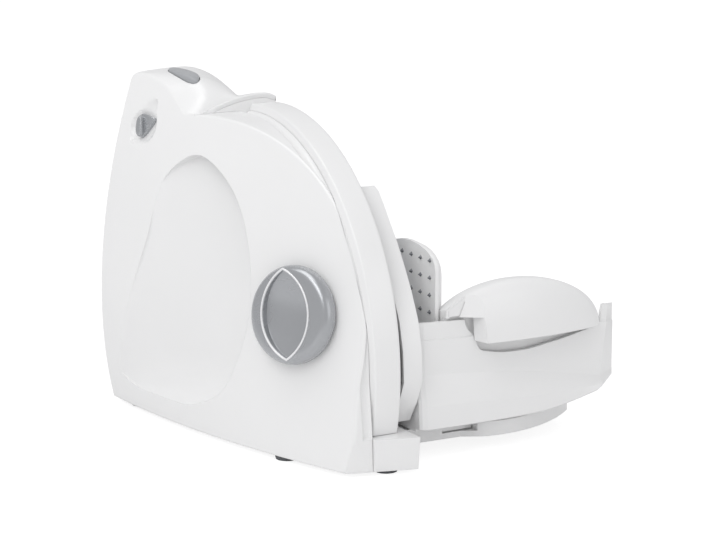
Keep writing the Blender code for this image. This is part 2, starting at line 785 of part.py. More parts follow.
# Cam drum with its helical groove
drum_back = joint_x + 6.0
drum = part("cam_drum", rod((drum_back - 0.5, *drum_axis), (drum_front, *drum_axis), drum_radius, segments=32), "nylon")
join(drum, cutter("socket", rod((joint_x - 3.4, *drum_axis), (drum_back, *drum_axis), socket_radius, segments=32)))
cut(drum, cutter("socket_bore_cut", rod((joint_x - 5.0, *drum_axis), (drum_back - 1.2, *drum_axis), socket_bore)))
slot_half = pin_radius + pin_play
pin_line = knob_turn @ Vector((1, 0, 0))
slot_angle = math.atan2(pin_line.z, pin_line.y)
slot_bm = box((joint_x - 5.0, -10.0, -slot_half), (joint_x + 4.4, 10.0, slot_half))
bmesh.ops.rotate(slot_bm, cent=(0, 0, 0), matrix=Matrix.Rotation(slot_angle, 3, "X"), verts=slot_bm.verts[:])
cut(drum, cutter("pin_slot", slot_bm, at=(0.0, *drum_axis)))

groove_depth = 2.4
groove_steps = 24
groove_path = []
for i in range(-2, groove_steps + 3):
    share = i / groove_steps
    groove_path.append((follower_x - slice_most * share, -math.radians(knob_turn_most) * share))


def groove_ring(x, a):
    """A square section across the groove, turned to the drum's surface."""
    half = 1.9
    out = Vector((0, math.cos(a), math.sin(a)))
    ring = []
    for shift, radius in ((-half, drum_radius - groove_depth), (half, drum_radius - groove_depth),
                          (half, drum_radius + 3.0), (-half, drum_radius + 3.0)):
        point = out * radius
        ring.append((x + shift, point.y, point.z))
    return ring


cut(drum, cutter("groove", loft([groove_ring(x, a) for x, a in groove_path]), at=(0.0, *drum_axis)))

# Bracket behind the drum
cam_edge = [(drum_axis[0] - 10, drum_axis[1] - 12), (drum_axis[0] + 30, drum_axis[1] - 12),
            (drum_axis[0] + 30, drum_axis[1] + 12), (drum_axis[0] - 10, drum_axis[1] + 12)]
cam_bracket = part("cam_bracket", slab(cam_edge, joint_x + 1.0, joint_x + 3.4, "X"), "nylon")
for index, z in enumerate((-8.0, 8.0)):
    join(cam_bracket, cutter(f"cam_pillar_{index}", rod((joint_x + 1.5, drum_axis[0] + 24.0, drum_axis[1] + z), (panel_back - seat_gap, drum_axis[0] + 24.0, drum_axis[1] + z), 3.5, segments=16)))
cut(cam_bracket, cutter("cam_bore", rod((joint_x - 4.0, *drum_axis), (joint_x + 6.0, *drum_axis), socket_radius + seat_gap)))

# Stop plate
near_edge = [(-84, stop_bottom), (-93, 42), (-100.0, 58), (-98.8, 78), (-94, 97), (-85, 115), (-75, 131),
             (-66, 144), (-57, 155), (-49, 165), (-42, 173), (-36, stop_top)]
arc_radius = blade_radius + blade_gap
first_angle = 180 - math.degrees(math.asin((154 - spindle_z) / arc_radius))
last_angle = 180 + math.degrees(math.asin((spindle_z - 36) / arc_radius))
blade_side = arc(blade_axis, arc_radius, first_angle, last_angle, 20)
stop_edge = near_edge + blade_side + [(blade_side[-1][0], stop_bottom)]
stop = part("stop_plate", slab(stop_edge, stop_face_x - stop_depth, stop_face_x, "X"), "white_plastic")
inner_edge = grown(stop_edge, -stop_skin)
cut(stop, cutter("stop_hollow", slab(inner_edge, -20.0, stop_face_x - stop_skin, "X")))
join(
    stop,
    cutter("sleeve", rod((sleeve_back, *drum_axis), (stop_face_x - 1.0, *drum_axis), sleeve_radius, segments=32)),
    cutter("bar_socket", rod((4.0, *guide_bar_at), (stop_face_x - 1.0, *guide_bar_at), 7.0)),
)
cut(
    stop,
    cutter("sleeve_bore_cut", rod((-30.0, *drum_axis), (stop_face_x - 3.6, *drum_axis), sleeve_bore, segments=32)),
    cutter("bar_socket_bore", rod((-30.0, *guide_bar_at), (stop_face_x - 4.0, *guide_bar_at), guide_bar_radius + 0.05)),
    cutter("follower_hole", rod((follower_x, drum_axis[0] + 4.0, drum_axis[1]), (follower_x, drum_axis[0] + 20.0, drum_axis[1]), 1.55, segments=12)),
)
part("guide_bar", rod((-20.0, *guide_bar_at), (stop_face_x - 4.4, *guide_bar_at), guide_bar_radius), "stainless")
part("follower_pin", rod((follower_x, drum_axis[0] + 5.2, drum_axis[1]), (follower_x, drum_axis[0] + sleeve_radius - 0.2, drum_axis[1]), 1.5, segments=12), "stainless")

# Guide plate that folds out of the base, with its channel and hinge
plate_edge = [(plate_left, plate_near + 2.0), (plate_left + 2.0, plate_near), (60.0, plate_near - 0.6)]
plate_edge += [(70.0, plate_bow + 3.6), (76.0, plate_bow + 1.0)]
for x in spread(plate_bow_x, plate_right - 4.0, 7):
    plate_edge.append((x, plate_bow + plate_curve * (x - plate_bow_x) ** 2))
plate_edge += [(plate_right, -40.0), (plate_right, plate_far - 12.0), (plate_right - 12.0, plate_far)]
plate_edge.append((plate_left, plate_far))
plate = part("guide_plate", slab(plate_edge, plate_bottom, plate_top, "Z"), "white_plastic")
cut(
    plate,
    cutter("channel", box((channel_left, -140.0, channel_floor), (channel_left + channel_width, 140.0, 30.0))),
    cutter("plate_pocket_a", box((plate_left + 3.0, plate_near + 4.0, 0.0), (channel_left - 3.0, plate_far - 4.0, plate_top - 3.0))),
    cutter("plate_pocket_b", box((channel_left + channel_width + 3.0, plate_near + 34.0, 0.0), (118.0, plate_far - 4.0, plate_top - 3.0))),
)
for index, y in enumerate((-50.0, 65.0)):
    join(plate, cutter(f"knuckle_{index}", box((0.0, y - 10.0, plate_bottom + 0.5), (plate_left + 2.4, y + 10.0, plate_top - 1.0))))
    cut(plate, cutter(f"knuckle_bore_{index}", rod((4.0, y - 12.0, 14.0), (4.0, y + 12.0, 14.0), 2.35, segments=16)))
    cut(
        bar,
        cutter(f"knuckle_slot_{index}", box((-1.0, y - 10.6, -1.0), (20.0, y + 10.6, plate_top + 0.4))),
        cutter(f"hinge_bore_{index}", rod((4.0, y - 15.4, 14.0), (4.0, y + 15.4, 14.0), 2.05, segments=16)),
    )
    part(f"hinge_pin_{index + 1}", rod((4.0, y - 15.0, 14.0), (4.0, y + 15.0, 14.0), 2.0, segments=16), "dark_steel")

# Carriage: table, near wall and runner
wall_marks = [
    # X, top, crease and bottom heights, how far the plan turns back, flare
    (table_left, 93.0, 57.0, 22.4, 2.4, 0.6), (21.2, 93.4, 57.0, 22.2, 0.9, 0.9), (24.6, 93.4, 57.0, 22.0, 0.0, 1.0),
    (42.0, 92.5, 56.5, 21.7, 0.0, 1.0), (84.0, 91.5, 53.0, 21.9, 0.0, 1.0), (117.5, 91.0, 48.5, 22.9, 0.0, 1.0),
    (142.0, 90.8, 44.0, 27.8, 0.0, 0.95), (160.0, 90.4, 41.0, 32.6, 0.0, 0.85), (163.5, 90.2, 41.0, 34.4, 0.3, 0.8),
    (table_right, 88.6, 41.0, 38.2, 3.4, 0.5),
]
wall_rings = []
for x, top, crease, bottom, back, share in wall_marks:
    near, flare = wall_y + back, wall_flare * share
    inner = near + wall_thickness
    step_z = top - wall_step_drop
    wall_rings.append([
        (x, inner, top), (x, near + wall_step, top), (x, near + wall_step, step_z + wall_step), (x, near, step_z),
        (x, near, crease), (x, near - flare * 0.8, crease * 0.45 + bottom * 0.55), (x, near - flare, bottom),
        (x, inner, bottom),
    ])
carriage = part("carriage", loft(wall_rings), "white_plastic", smooth=20)
runner_left, runner_right = channel_left + running_gap, channel_left + channel_width - running_gap
join(
    carriage,
    cutter("table", box((table_left, wall_y + 1.0, table_top - table_thickness), (160.0, table_far, table_top))),
    cutter("left_rib", box((table_left, wall_y + 1.4, table_top - table_thickness - rib_depth),
                           (table_left + 3.0, table_far - 2.0, table_top - 1.0))),
    cutter("runner", box((runner_left, plate_near + 1.0, channel_floor + running_gap),
                         (runner_right, table_far - 4.0, table_top - 1.0))),
)
crescent = [(55.6, 130.0), (55.6, 92.0), (61.8, 81.0), (65.5, 73.0), (68.0, 70.0), (76.0, 68.2), (86.4, 66.7),
            (103.6, 66.5), (121.0, 68.9), (138.5, 71.9), (156.2, 75.9), (161.5, 78.2), (162.6, 82.0), (162.4, 130.0)]
cut(carriage, cutter("crescent", slab(crescent, wall_y - 20.0, wall_y + 14.0, "Y")))

# Food holder: hand guard, backing plate and spiked plate
def dome_block(inset):
    cx, cy, cz = dome_centre
    rings = []
    for i in range(1, 18):
        a = math.pi * i / 18
        x = cx - (dome_reach[0] - inset) * math.cos(a)
        size = math.sin(a)
        ring = []
        for k in range(17):
            b = math.pi * k / 16
            depth = dome_reach[1] if b < math.pi / 2 else dome_depth
            ring.append((x, cy - (depth - inset) * math.cos(b) * size, cz + (dome_reach[2] - inset) * math.sin(b) * size))
        rings.append([(p[0], p[1], p[2] - (inset and 1.0)) for p in ring])
    return loft(rings)


def beyond_plane(point, normal, shift, near, far, low, high):
    """Everything on the left of a slanted plane, between two Y values and two heights."""
    rings = []
    for z in (low, high):
        ends = []
        for y in (near, far):
            ends.append(point[0] + shift - (normal[1] * (y - point[1]) + normal[2] * (z - point[2])) / normal[0])
        rings.append([(0.0, near, z), (ends[0], near, z), (ends[1], far, z), (0.0, far, z)])
    return loft(rings)


end_point, end_normal = (65.6, -103.1, 77.4), (-0.957, -0.277, -0.08)
facet_point, facet_normal = (63.7, -101.3, 94.0), (-0.56, -0.79, 0.244)
slot_front = wall_y - running_gap
slot_back = wall_y + wall_thickness + running_gap
slot_top = wall_top + 1.0
slot_side = [(x + holder_travel + running_gap, z) for x, z in reversed(crescent[1:4])]
slot_room = [(0.0, slot_side[0][1]), *slot_side, (slot_side[-1][0], slot_top), (0.0, slot_top)]
guard = part("holder_guard", dome_block(0.0), "white_plastic")
cut(guard, cutter("guard_end", box((0.0, -140.0, 40.0), (dome_cut, -20.0, 140.0))))
inside = cutter("guard_inside", dome_block(dome_wall))
keep(inside, cutter("guard_inside_end", box((dome_cut + 3.0, -140.0, 20.0), (200.0, -20.0, 140.0))))
cut(
    inside,
    cutter("end_wall", beyond_plane(end_point, end_normal, dome_wall, -140.0, slot_front, 30.0, slot_top)),
    cutter("facet_wall", beyond_plane(facet_point, facet_normal, 4.0, -140.0, slot_front, 90.0, 130.0)),
)
cut(
    guard,
    inside,
    cutter("end_cut", beyond_plane(end_point, end_normal, 0.0, -140.0, slot_back, 30.0, slot_top)),
    cutter("facet_cut", beyond_plane(facet_point, facet_normal, 0.0, -140.0, wall_y, slot_top - 0.2, 130.0)),
    cutter("slot_cut", slab(slot_room, slot_front, slot_back, "Y")),
)
back_edge = [(-80.0, 34.0), (-80.0, 126.0), (-70.0, 134.0), (-50.0, 137.5), (-30.0, 134.0), (-12.0, 124.0), (-12.0, 34.0)]
join(guard, cutter("holder_back", slab(back_edge, spike_plate_x + seat_gap, spike_plate_x + 3.4, "X")))
plate_shape = [(spike_plate_near, 33.0), (spike_plate_near, 131.0), (-74.0, 137.0), (-60.0, 139.6), (-40.0, 139.2),
               (-24.0, 135.0), (-12.0, 126.0), (spike_plate_far, 118.0), (spike_plate_far, 33.0)]
spikes = part("spike_plate", slab(plate_shape, spike_plate_x - spike_plate_thickness, spike_plate_x, "X"), "white_plastic")
spike_x = spike_plate_x - spike_plate_thickness
for row in range(7):
    for column in range(5):
        y = -74.0 + (column + 0.5 * (row % 2)) * spike_pitch + 4.5
        z = 129.5 - row * spike_pitch
        if y > -14.0:
            continue
        join(spikes, cutter(f"spike_{row}_{column}", rod((spike_x + 0.6, y, z), (spike_x - spike_height, y, z), 2.0, 0.3, segments=4)))

# On button
def roof_normal(x, y):
    by_x = (roof_z(x + 0.5, y) - roof_z(x - 0.5, y)) / 1.0
    by_y = (roof_z(x, y + 0.5) - roof_z(x, y - 0.5)) / 1.0
    return Vector((-by_x, -by_y, 1.0)).normalized()


def oval(length, width, count=28):
    return [(0.5 * width * math.cos(math.tau * i / count), 0.5 * length * math.sin(math.tau * i / count)) for i in range(count)]


button_out = roof_normal(*button_at)
button_spot = Vector((*button_at, roof_z(*button_at)))
button_tilt = Vector((0, 0, 1)).rotation_difference(button_out)
button = part("on_button", slab(oval(button_length, button_width), -14.5, 9.0, "Z"), "button_grey", at=button_spot, turn=button_tilt)
keep(button, cutter("button_top", hood_block(-button_proud, 180.0, 20.0)))
join(
    button,
    cutter("button_flange", slab(oval(button_length - 6.0, button_width + 5.0), -16.4, -14.4, "Z"), at=button_spot, turn=button_tilt),
    cutter("button_stem", rod((0, 0, -16.2), (0, 0, -19.0), 3.0, segments=16), at=button_spot, turn=button_tilt),
)
hole = slab(oval(button_length + 1.2, button_width + 1.2), -22.0, 12.0, "Z")
cut(shell, cutter("button_hole", hole, at=button_spot, turn=button_tilt))
part("microswitch", box((-5.0, -10.0, -31.6), (5.0, 10.0, -22.0)), "black_plastic", at=button_spot, turn=button_tilt)
shelf = cutter("switch_shelf", box((-6.0, -9.0, -34.2), (40.0, 9.0, -31.8)), at=button_spot, turn=button_tilt)
keep(shelf, cutter("shelf_reach", box((-80.0, 60.0, 180.0), (panel_face - 0.6, 150.0, 240.0))))
join(panel, shelf)

# Safety lock in its dish
lock_out = face_normal(*lock_at)
lock_spot = Vector((face_x(*lock_at), *lock_at))
lock_tilt = Vector((0, 0, 1)).rotation_difference(lock_out)
dish_bm = bmesh.new()
bmesh.ops.create_uvsphere(dish_bm, u_segments=28, v_segments=16, radius=1.0, matrix=Matrix.Translation((8.0, 0.0, 2.0)) @ Matrix.Diagonal((25.0, 15.0, 8.5, 1.0)))
skin_bm = bmesh.new()
bmesh.ops.create_uvsphere(skin_bm, u_segments=20, v_segments=12, radius=1.0, matrix=Matrix.Translation((8.0, 0.0, 2.0)) @ Matrix.Diagonal((28.0, 18.0, 11.5, 1.0)))
cut(hollow, cutter("dish_skin", skin_bm, at=lock_spot, turn=lock_tilt))
cut(shell, cutter("lock_dish", dish_bm, at=lock_spot, turn=lock_tilt))
cut(shell, cutter("lock_hole", rod((0, 0, -20.0), (0, 0, 4.0), 3.0, segments=16), at=lock_spot, turn=lock_tilt))
lock = turned(
    "safety_lock",
    [(0.0, -1.4), (lock_radius - 2.0, -1.6), (lock_radius - 1.0, -2.4), (lock_radius - 1.0, -3.2), (2.6, -3.2), (2.6, -14.0), (0.0, -14.0)],
    32,
    "satin_silver",
    at=lock_spot,
    turn=lock_tilt,
)
join(lock, cutter("lock_bar", box((-8.5, -2.4, -2.4), (8.5, 2.4, 2.6)), at=lock_spot, turn=lock_tilt))
arm = part("lock_arm", box((-4.5, -4.5, -12.6), (16.0, 4.5, -10.0)), "nylon", at=lock_spot, turn=lock_tilt)
cut(arm, cutter("arm_bore", rod((0, 0, -16.0), (0, 0, -8.0), 2.65, segments=16), at=lock_spot, turn=lock_tilt))

# Inlet for the mains lead
gland = turned(
    "cord_inlet",
    [(3.2, 6.0), (5.5, 6.0), (7.5, 3.0), (7.5, 1.9), (4.6, 1.9), (4.6, -5.0), (3.2, -5.0)],
    24,
    "black_plastic",
    at=(-60.0, far_end(24.0), 24.0),
    turn=Vector((0, 0, 1)).rotation_difference(Vector((0, 1, 0))),
)
cut(shell, cutter("inlet_hole", rod((-60.0, 120.0, 24.0), (-60.0, 160.0, 24.0), 5.0)))

# The origin lies under the middle of the bounding box
frame.location = Vector((-34.1, -17.24, 0.0)) * metre
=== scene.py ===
# A white household food slicer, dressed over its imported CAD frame.
# Lengths here are in millimetres in the maker's frame: X runs along the blade's axis with the guard
# rim's face at X = 0, Y runs away from the user, and Z = 0 is the table.
import json
import math

import bmesh
import bpy
import numpy as np
from mathutils import Matrix, Vector


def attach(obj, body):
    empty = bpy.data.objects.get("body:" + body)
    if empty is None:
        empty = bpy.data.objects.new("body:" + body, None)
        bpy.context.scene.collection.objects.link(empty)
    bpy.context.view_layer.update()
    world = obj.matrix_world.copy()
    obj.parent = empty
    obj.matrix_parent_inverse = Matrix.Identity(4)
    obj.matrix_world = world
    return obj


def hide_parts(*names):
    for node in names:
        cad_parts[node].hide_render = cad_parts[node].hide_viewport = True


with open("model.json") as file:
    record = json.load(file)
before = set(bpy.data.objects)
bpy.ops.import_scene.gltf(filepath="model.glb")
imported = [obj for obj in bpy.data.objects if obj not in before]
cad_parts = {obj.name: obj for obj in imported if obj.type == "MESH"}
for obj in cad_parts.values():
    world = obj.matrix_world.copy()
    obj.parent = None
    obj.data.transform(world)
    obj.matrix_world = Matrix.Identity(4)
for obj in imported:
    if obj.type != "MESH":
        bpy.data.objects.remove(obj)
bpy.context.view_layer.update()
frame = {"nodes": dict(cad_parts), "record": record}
print("frame loaded")

frameShift = np.array([34.1, 17.24, 0.0])  # the frame's origin, in the maker's frame
fullTurn = 2 * math.pi
# Metres: points nearer than this are one point, in a new solid, in a CAD node and after cuts
solidMerge, cadMerge, cutMerge = 1e-6, 2e-6, 1e-5
# Degrees: faces flatter than this to each other are joined, in a CAD node and after cuts
cadFlat, cutFlat = 0.4, 0.3
# Places clear of the whole machine, where the cutting boxes end
clear = {"left": -20, "right": 260, "near": -140, "far": 200, "below": -10, "above": 140}


def circle(count):
    """The angles of a full circle, in equal steps."""
    return np.linspace(0, fullTurn, count, endpoint=False)


def toRow(points):
    """Maker's millimetres to the frame's metres."""
    return (np.asarray(points, float) - frameShift) / 1000


# Camera: the photograph's view, worked out from the level rows of spikes and the round rim
viewSettings = {
    "azimuth": -29.0, "elevation": 12.5, "place": (-807.5, -1502.9, 492.0),
    "focalPixels": 2600, "picturePixels": 716, "sensorMm": 36, "clipMetres": 20,
}


def setCamera(s=viewSettings):
    a, e = math.radians(s["azimuth"]), math.radians(s["elevation"])
    back = Vector((math.sin(a) * math.cos(e), -math.cos(a) * math.cos(e), math.sin(e)))
    camera = bpy.data.objects.new("photoCamera", bpy.data.cameras.new("photoCamera"))
    camera.data.sensor_width = s["sensorMm"]
    camera.data.sensor_fit = "HORIZONTAL"
    camera.data.lens = s["focalPixels"] / s["picturePixels"] * s["sensorMm"]
    camera.data.clip_end = s["clipMetres"]
    camera.location = toRow(s["place"])
    camera.rotation_euler = back.to_track_quat("Z", "Y").to_euler()
    bpy.context.scene.collection.objects.link(camera)
    bpy.context.scene.camera = camera


setCamera()
print("camera set")


# Materials
def toLinear(hexColour):
    """A hex colour as linear RGBA, by the sRGB formula."""
    channels = [int(hexColour[i : i + 2], 16) / 255 for i in (0, 2, 4)]
    return (*[c / 12.92 if c <= 0.04045 else ((c + 0.055) / 1.055) ** 2.4 for c in channels], 1.0)


def wired(tree, node, inputs=None, links=None):
    """Sets a node's input values and links sockets into its inputs."""
    for key, value in (inputs or {}).items():
        node.inputs[key].default_value = value
    for key, socket in (links or {}).items():
        tree.links.new(socket, node.inputs[key])
    return node


def addNode(tree, kind, inputs=None, links=None, **settings):
    """Adds a shader node with its settings, input values and links."""
    node = tree.nodes.new(f"ShaderNode{kind}")
    for key, value in settings.items():
        setattr(node, key, value)
    return wired(tree, node, inputs, links)


def newMaterial(name):
    material = bpy.data.materials.new(name)
    material.use_nodes = True
    return material, material.node_tree, material.node_tree.nodes["Principled BSDF"]


# What all finishes share: the plastics' IOR, the softened edge, the grain's depth over its width,
# and the detail and roughness of both noises
surfaceSettings = {
    "ior": 1.5, "edgeMm": 0.5, "edgeSamples": 6, "grainDepth": 0.2,
    "broadNoise": (3.0, 0.55), "fineNoise": (2.0, 0.6),
}


def mottledMaterial(name, s, shared=surfaceSettings):
    """A moulded or machined surface: fine grain in its bump, broad faint change in its colour."""
    material, tree, shader = newMaterial(name)
    place = addNode(tree, "TexCoord").outputs["Object"]

    def noise(sizeMm, detail, roughness):
        values = {"Scale": 1000 / sizeMm, "Detail": detail, "Roughness": roughness}
        return addNode(tree, "TexNoise", values, {"Vector": place}).outputs["Fac"]

    broad, fine = noise(s["broadMm"], *shared["broadNoise"]), noise(s["grainMm"], *shared["fineNoise"])
    colours = {"A": toLinear(s["colour"]), "B": toLinear(s["shade"])}
    tint = addNode(tree, "Mix", colours, {"Factor": broad}, data_type="RGBA")
    low, high = s["roughness"]
    rough = addNode(tree, "MapRange", {"To Min": low, "To Max": high}, {"Value": broad})
    edge = addNode(tree, "Bevel", {"Radius": shared["edgeMm"] / 1000}, samples=shared["edgeSamples"])
    grain = {"Strength": s["bump"], "Distance": s["grainMm"] / 1000 * shared["grainDepth"]}
    bump = addNode(tree, "Bump", grain, {"Height": fine, "Normal": edge.outputs["Normal"]})
    values = {"Metallic": s.get("metallic", 0.0)}
    if not values["Metallic"]:
        values["IOR"] = shared["ior"]
    if "coat" in s:
        values.update({"Coat Weight": s["coat"], "Coat Roughness": s["coatRoughness"]})
    links = {"Base Color": tint.outputs["Result"], "Roughness": rough.outputs["Result"]}
    wired(tree, shader, values, {**links, "Normal": bump.outputs["Normal"]})
    return material


def brushedMaterial(name, s):
    """Turned or ground steel: fine rings about an axis along X, drawn coarse enough to show."""
    material = mottledMaterial(name, s)
    tree = material.node_tree
    place = addNode(tree, "TexCoord").outputs["Object"]
    centre = {"Location": [-v for v in toRow(s["centre"])]}
    centred = addNode(tree, "Mapping", centre, {"Vector": place}).outputs["Vector"]
    waveRate = 20  # the wave texture's own rate, in radians a unit at scale 1
    rings = addNode(
        tree, "TexWave",
        {"Scale": 1000 / s["radianMm"] / waveRate, "Distortion": 1.5, "Detail": 3.0, "Detail Scale": 4.0},
        {"Vector": centred}, wave_type="RINGS", rings_direction="X",
    )
    relief = {"Strength": s["ringBump"], "Distance": s["ringDepthMm"] / 1000}
    bump = addNode(tree, "Bump", relief, {"Height": rings.outputs["Fac"]})
    shader = tree.nodes["Principled BSDF"]
    wired(tree, shader, {"Anisotropic": s["anisotropic"]}, {"Normal": bump.outputs["Normal"]})
    return material


def spikedMaterial(name, s, spikes):
    """The white plate with its spikes darker: told apart by how far they stand out along X."""
    material = mottledMaterial(name, s)
    tree = material.node_tree
    shader = tree.nodes["Principled BSDF"]
    white = shader.inputs["Base Color"].links[0].from_socket
    place = addNode(tree, "TexCoord").outputs["Object"]
    axes = addNode(tree, "SeparateXYZ", None, {0: place})
    front = float(toRow((spikes["face"] - spikes["tintGap"], 0, 0))[0])
    proud = addNode(tree, "Math", {1: front}, {0: axes.outputs["X"]}, operation="LESS_THAN").outputs[0]
    dark = {"B": toLinear(spikes["tint"])}
    blend = addNode(tree, "Mix", dark, {"Factor": proud, "A": white}, data_type="RGBA")
    wired(tree, shader, None, {"Base Color": blend.outputs["Result"]})
    return material


finishKeys = (
    "colour", "shade", "roughness", "broadMm", "grainMm", "bump", "metallic", "coat", "coatRoughness",
)
finishRows = {
    # Injection moulded ABS, polished tool: white, with a soft sheen and a trace of flow waviness
    "mouldedAbs": ("F1F1F1", "EDEDED", (0.26, 0.33), 60, 1.6, 0.03, 0.0, 0.25, 0.16),
    # The same plastic under the machine, less polished, and painted darker grey as the shade under the
    # machine
    "shadedUnderAbs": ("D5D6D8", "CBCCCF", (0.45, 0.6), 40, 1.0, 0.12),
    # Silver lacquer over moulded plastic: metallic, with a clear satin coat
    "silverLacquer": ("B2B4B7", "A8AAAD", (0.24, 0.3), 25, 0.6, 0.04, 0.65, 0.4, 0.12),
    # The same lacquer made near white on the leaf's edge, a painted highlight
    "paintedHighlightSilver": ("F4F4F5", "ECECEE", (0.2, 0.26), 25, 0.6, 0.02, 0.2, 0.5, 0.1),
    "greyButtonPlastic": ("ABADB0", "A3A5A8", (0.35, 0.45), 20, 0.7, 0.08),
    "blackPlastic": ("242527", "2C2D30", (0.4, 0.55), 20, 0.7, 0.12),
    "nitrileRubber": ("5E6063", "686A6D", (0.75, 0.88), 12, 0.8, 0.3),
    "acetal": ("E5E0D2", "DDD7C6", (0.4, 0.5), 20, 0.9, 0.08),
    "copperWinding": ("B0683A", "9C5830", (0.35, 0.5), 6, 0.7, 0.4, 1.0),
    "zincPlatedSteel": ("8B8E93", "7B7E84", (0.32, 0.45), 15, 0.8, 0.1, 1.0),
}
finishes = {name: dict(zip(finishKeys, row)) for name, row in finishRows.items()}
# Stainless blade, ground in rings round its own centre: a ring is 2 pi times radianMm wide
bladeFinish = {
    "colour": "C3C6CA", "shade": "B7BABF", "roughness": (0.2, 0.3), "broadMm": 30, "grainMm": 0.6,
    "bump": 0.05, "metallic": 1.0, "anisotropic": 0.4, "radianMm": 0.6, "ringBump": 0.12,
    "ringDepthMm": 0.1, "centre": (0.0, 50.0, 107.0),
}
made = {name: mottledMaterial(name, s) for name, s in finishes.items()}
made["groundStainless"] = brushedMaterial("groundStainless", bladeFinish)
print("materials made")

# The CAD nodes that are shown in their own form, by finish
shownAsMade = {
    # The bottom cover's darker grey is painted shade under the machine
    "shadedUnderAbs": ["bottom_cover"],
    "groundStainless": ["blade"],
    "zincPlatedSteel": ["blade_spindle", "blade_screw", "motor_can", "drive_bracket", "knob_shaft",
                        "cross_pin", "guide_bar", "follower_pin", "hinge_pin_1", "hinge_pin_2"],
    "acetal": ["worm_wheel", "cam_drum", "cam_bracket", "lock_arm"],
    "copperWinding": ["motor_armature"],
    "blackPlastic": ["microswitch", "cord_inlet"],
    "nitrileRubber": [f"foot_{i}" for i in range(1, 7)],
}
for finish, nodes in shownAsMade.items():
    for node in nodes:
        for materialSlot in frame["nodes"][node].material_slots:
            materialSlot.material = made[finish]

bodyOf = {node: body for body, nodes in frame["record"]["behaviour"]["bodies"].items() for node in nodes}


def addPiece(name, mesh, finish, body, replaced, sharp=35):
    """Links a finished mesh as a piece that rides on a body and stands for CAD nodes."""
    mesh.name = name
    obj = bpy.data.objects.new(name, mesh)
    bpy.context.scene.collection.objects.link(obj)
    mesh.shade_smooth()
    mesh.set_sharp_from_angle(angle=math.radians(sharp))
    mesh.materials.clear()
    mesh.materials.append(made[finish])
    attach(obj, body)
    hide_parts(*replaced)
    return obj


def gridMesh(name, rows, capped=False):
    """A mesh over rows of points, each row a closed ring, in the maker's millimetres."""
    rows = np.asarray(rows, float)
    count, across = rows.shape[:2]
    index = np.arange(count * across).reshape(count, across)
    following = np.roll(index, -1, axis=1)
    quads = np.stack([index[:-1], following[:-1], following[1:], index[1:]], axis=-1)
    faces = quads.reshape(-1, 4).tolist()
    if capped:
        faces += [index[0][::-1].tolist(), index[-1].tolist()]
    mesh = bpy.data.meshes.new(name)
    mesh.from_pydata(toRow(rows.reshape(-1, 3)).tolist(), [], faces)
    mesh.update()
    return mesh


def closedMesh(mesh, distance=solidMerge):
    """Merges doubles and turns all faces outwards."""
    bm = bmesh.new()
    bm.from_mesh(mesh)
    bmesh.ops.remove_doubles(bm, verts=bm.verts[:], dist=distance)
    bmesh.ops.dissolve_degenerate(bm, edges=bm.edges[:], dist=distance)
    bmesh.ops.recalc_face_normals(bm, faces=bm.faces[:])
    bm.to_mesh(mesh)
    bm.free()
    return mesh


def cleaned(source, name, merge=0.0, flat=0.0):
    """A copy with its doubles merged and its flat faces joined, each where a limit is given."""
    bm = bmesh.new()
    bm.from_mesh(source)
    if merge:
        bmesh.ops.remove_doubles(bm, verts=bm.verts[:], dist=merge)
    if flat:
        limit = math.radians(flat)
        bmesh.ops.dissolve_limit(bm, angle_limit=limit, verts=bm.verts[:], edges=bm.edges[:])
    mesh = bpy.data.meshes.new(name)
    bm.to_mesh(mesh)
    bm.free()
    return mesh


def solidMesh(name, rings):
    """A closed solid through rings, in the maker's millimetres."""
    return closedMesh(gridMesh(name, rings, capped=True))


def prismMesh(outline, low, high, axis):
    """A flat outline made thick along an axis. Outlines are (Y, Z), (X, Z) or (X, Y)."""
    at = "XYZ".index(axis)
    rings = [[(*point[:at], level, *point[at:]) for point in outline] for level in (low, high)]
    return solidMesh("prism", rings)


def boxMesh(low, high):
    """A box between two opposite corners."""
    (left, near, bottom), (right, far, top) = low, high
    return prismMesh([(near, bottom), (far, bottom), (far, top), (near, top)], left, right, "X")


def cutBox(**limits):
    """A box clear of the machine on each side that no limit is given for."""
    at = {**clear, **limits}
    return boxMesh((at["left"], at["near"], at["below"]), (at["right"], at["far"], at["above"]))


def combined(base, other, operation):
    """The Boolean of two closed meshes, as a mesh of its own."""
    pair = [bpy.data.objects.new("operand", mesh) for mesh in (base, other)]
    for obj in pair:
        bpy.context.scene.collection.objects.link(obj)
    step = pair[0].modifiers.new("step", "BOOLEAN")
    step.operation = operation
    step.solver = "EXACT"
    step.object = pair[1]
    graph = bpy.context.evaluated_depsgraph_get()
    result = bpy.data.meshes.new_from_object(pair[0].evaluated_get(graph))
    for obj in pair:
        bpy.data.objects.remove(obj, do_unlink=True)
    return result


def carved(base, *others):
    for other in others:
        base = combined(base, other, "DIFFERENCE")
    return base


def joined(base, *others):
    for other in others:
        base = combined(base, other, "UNION")
    return base


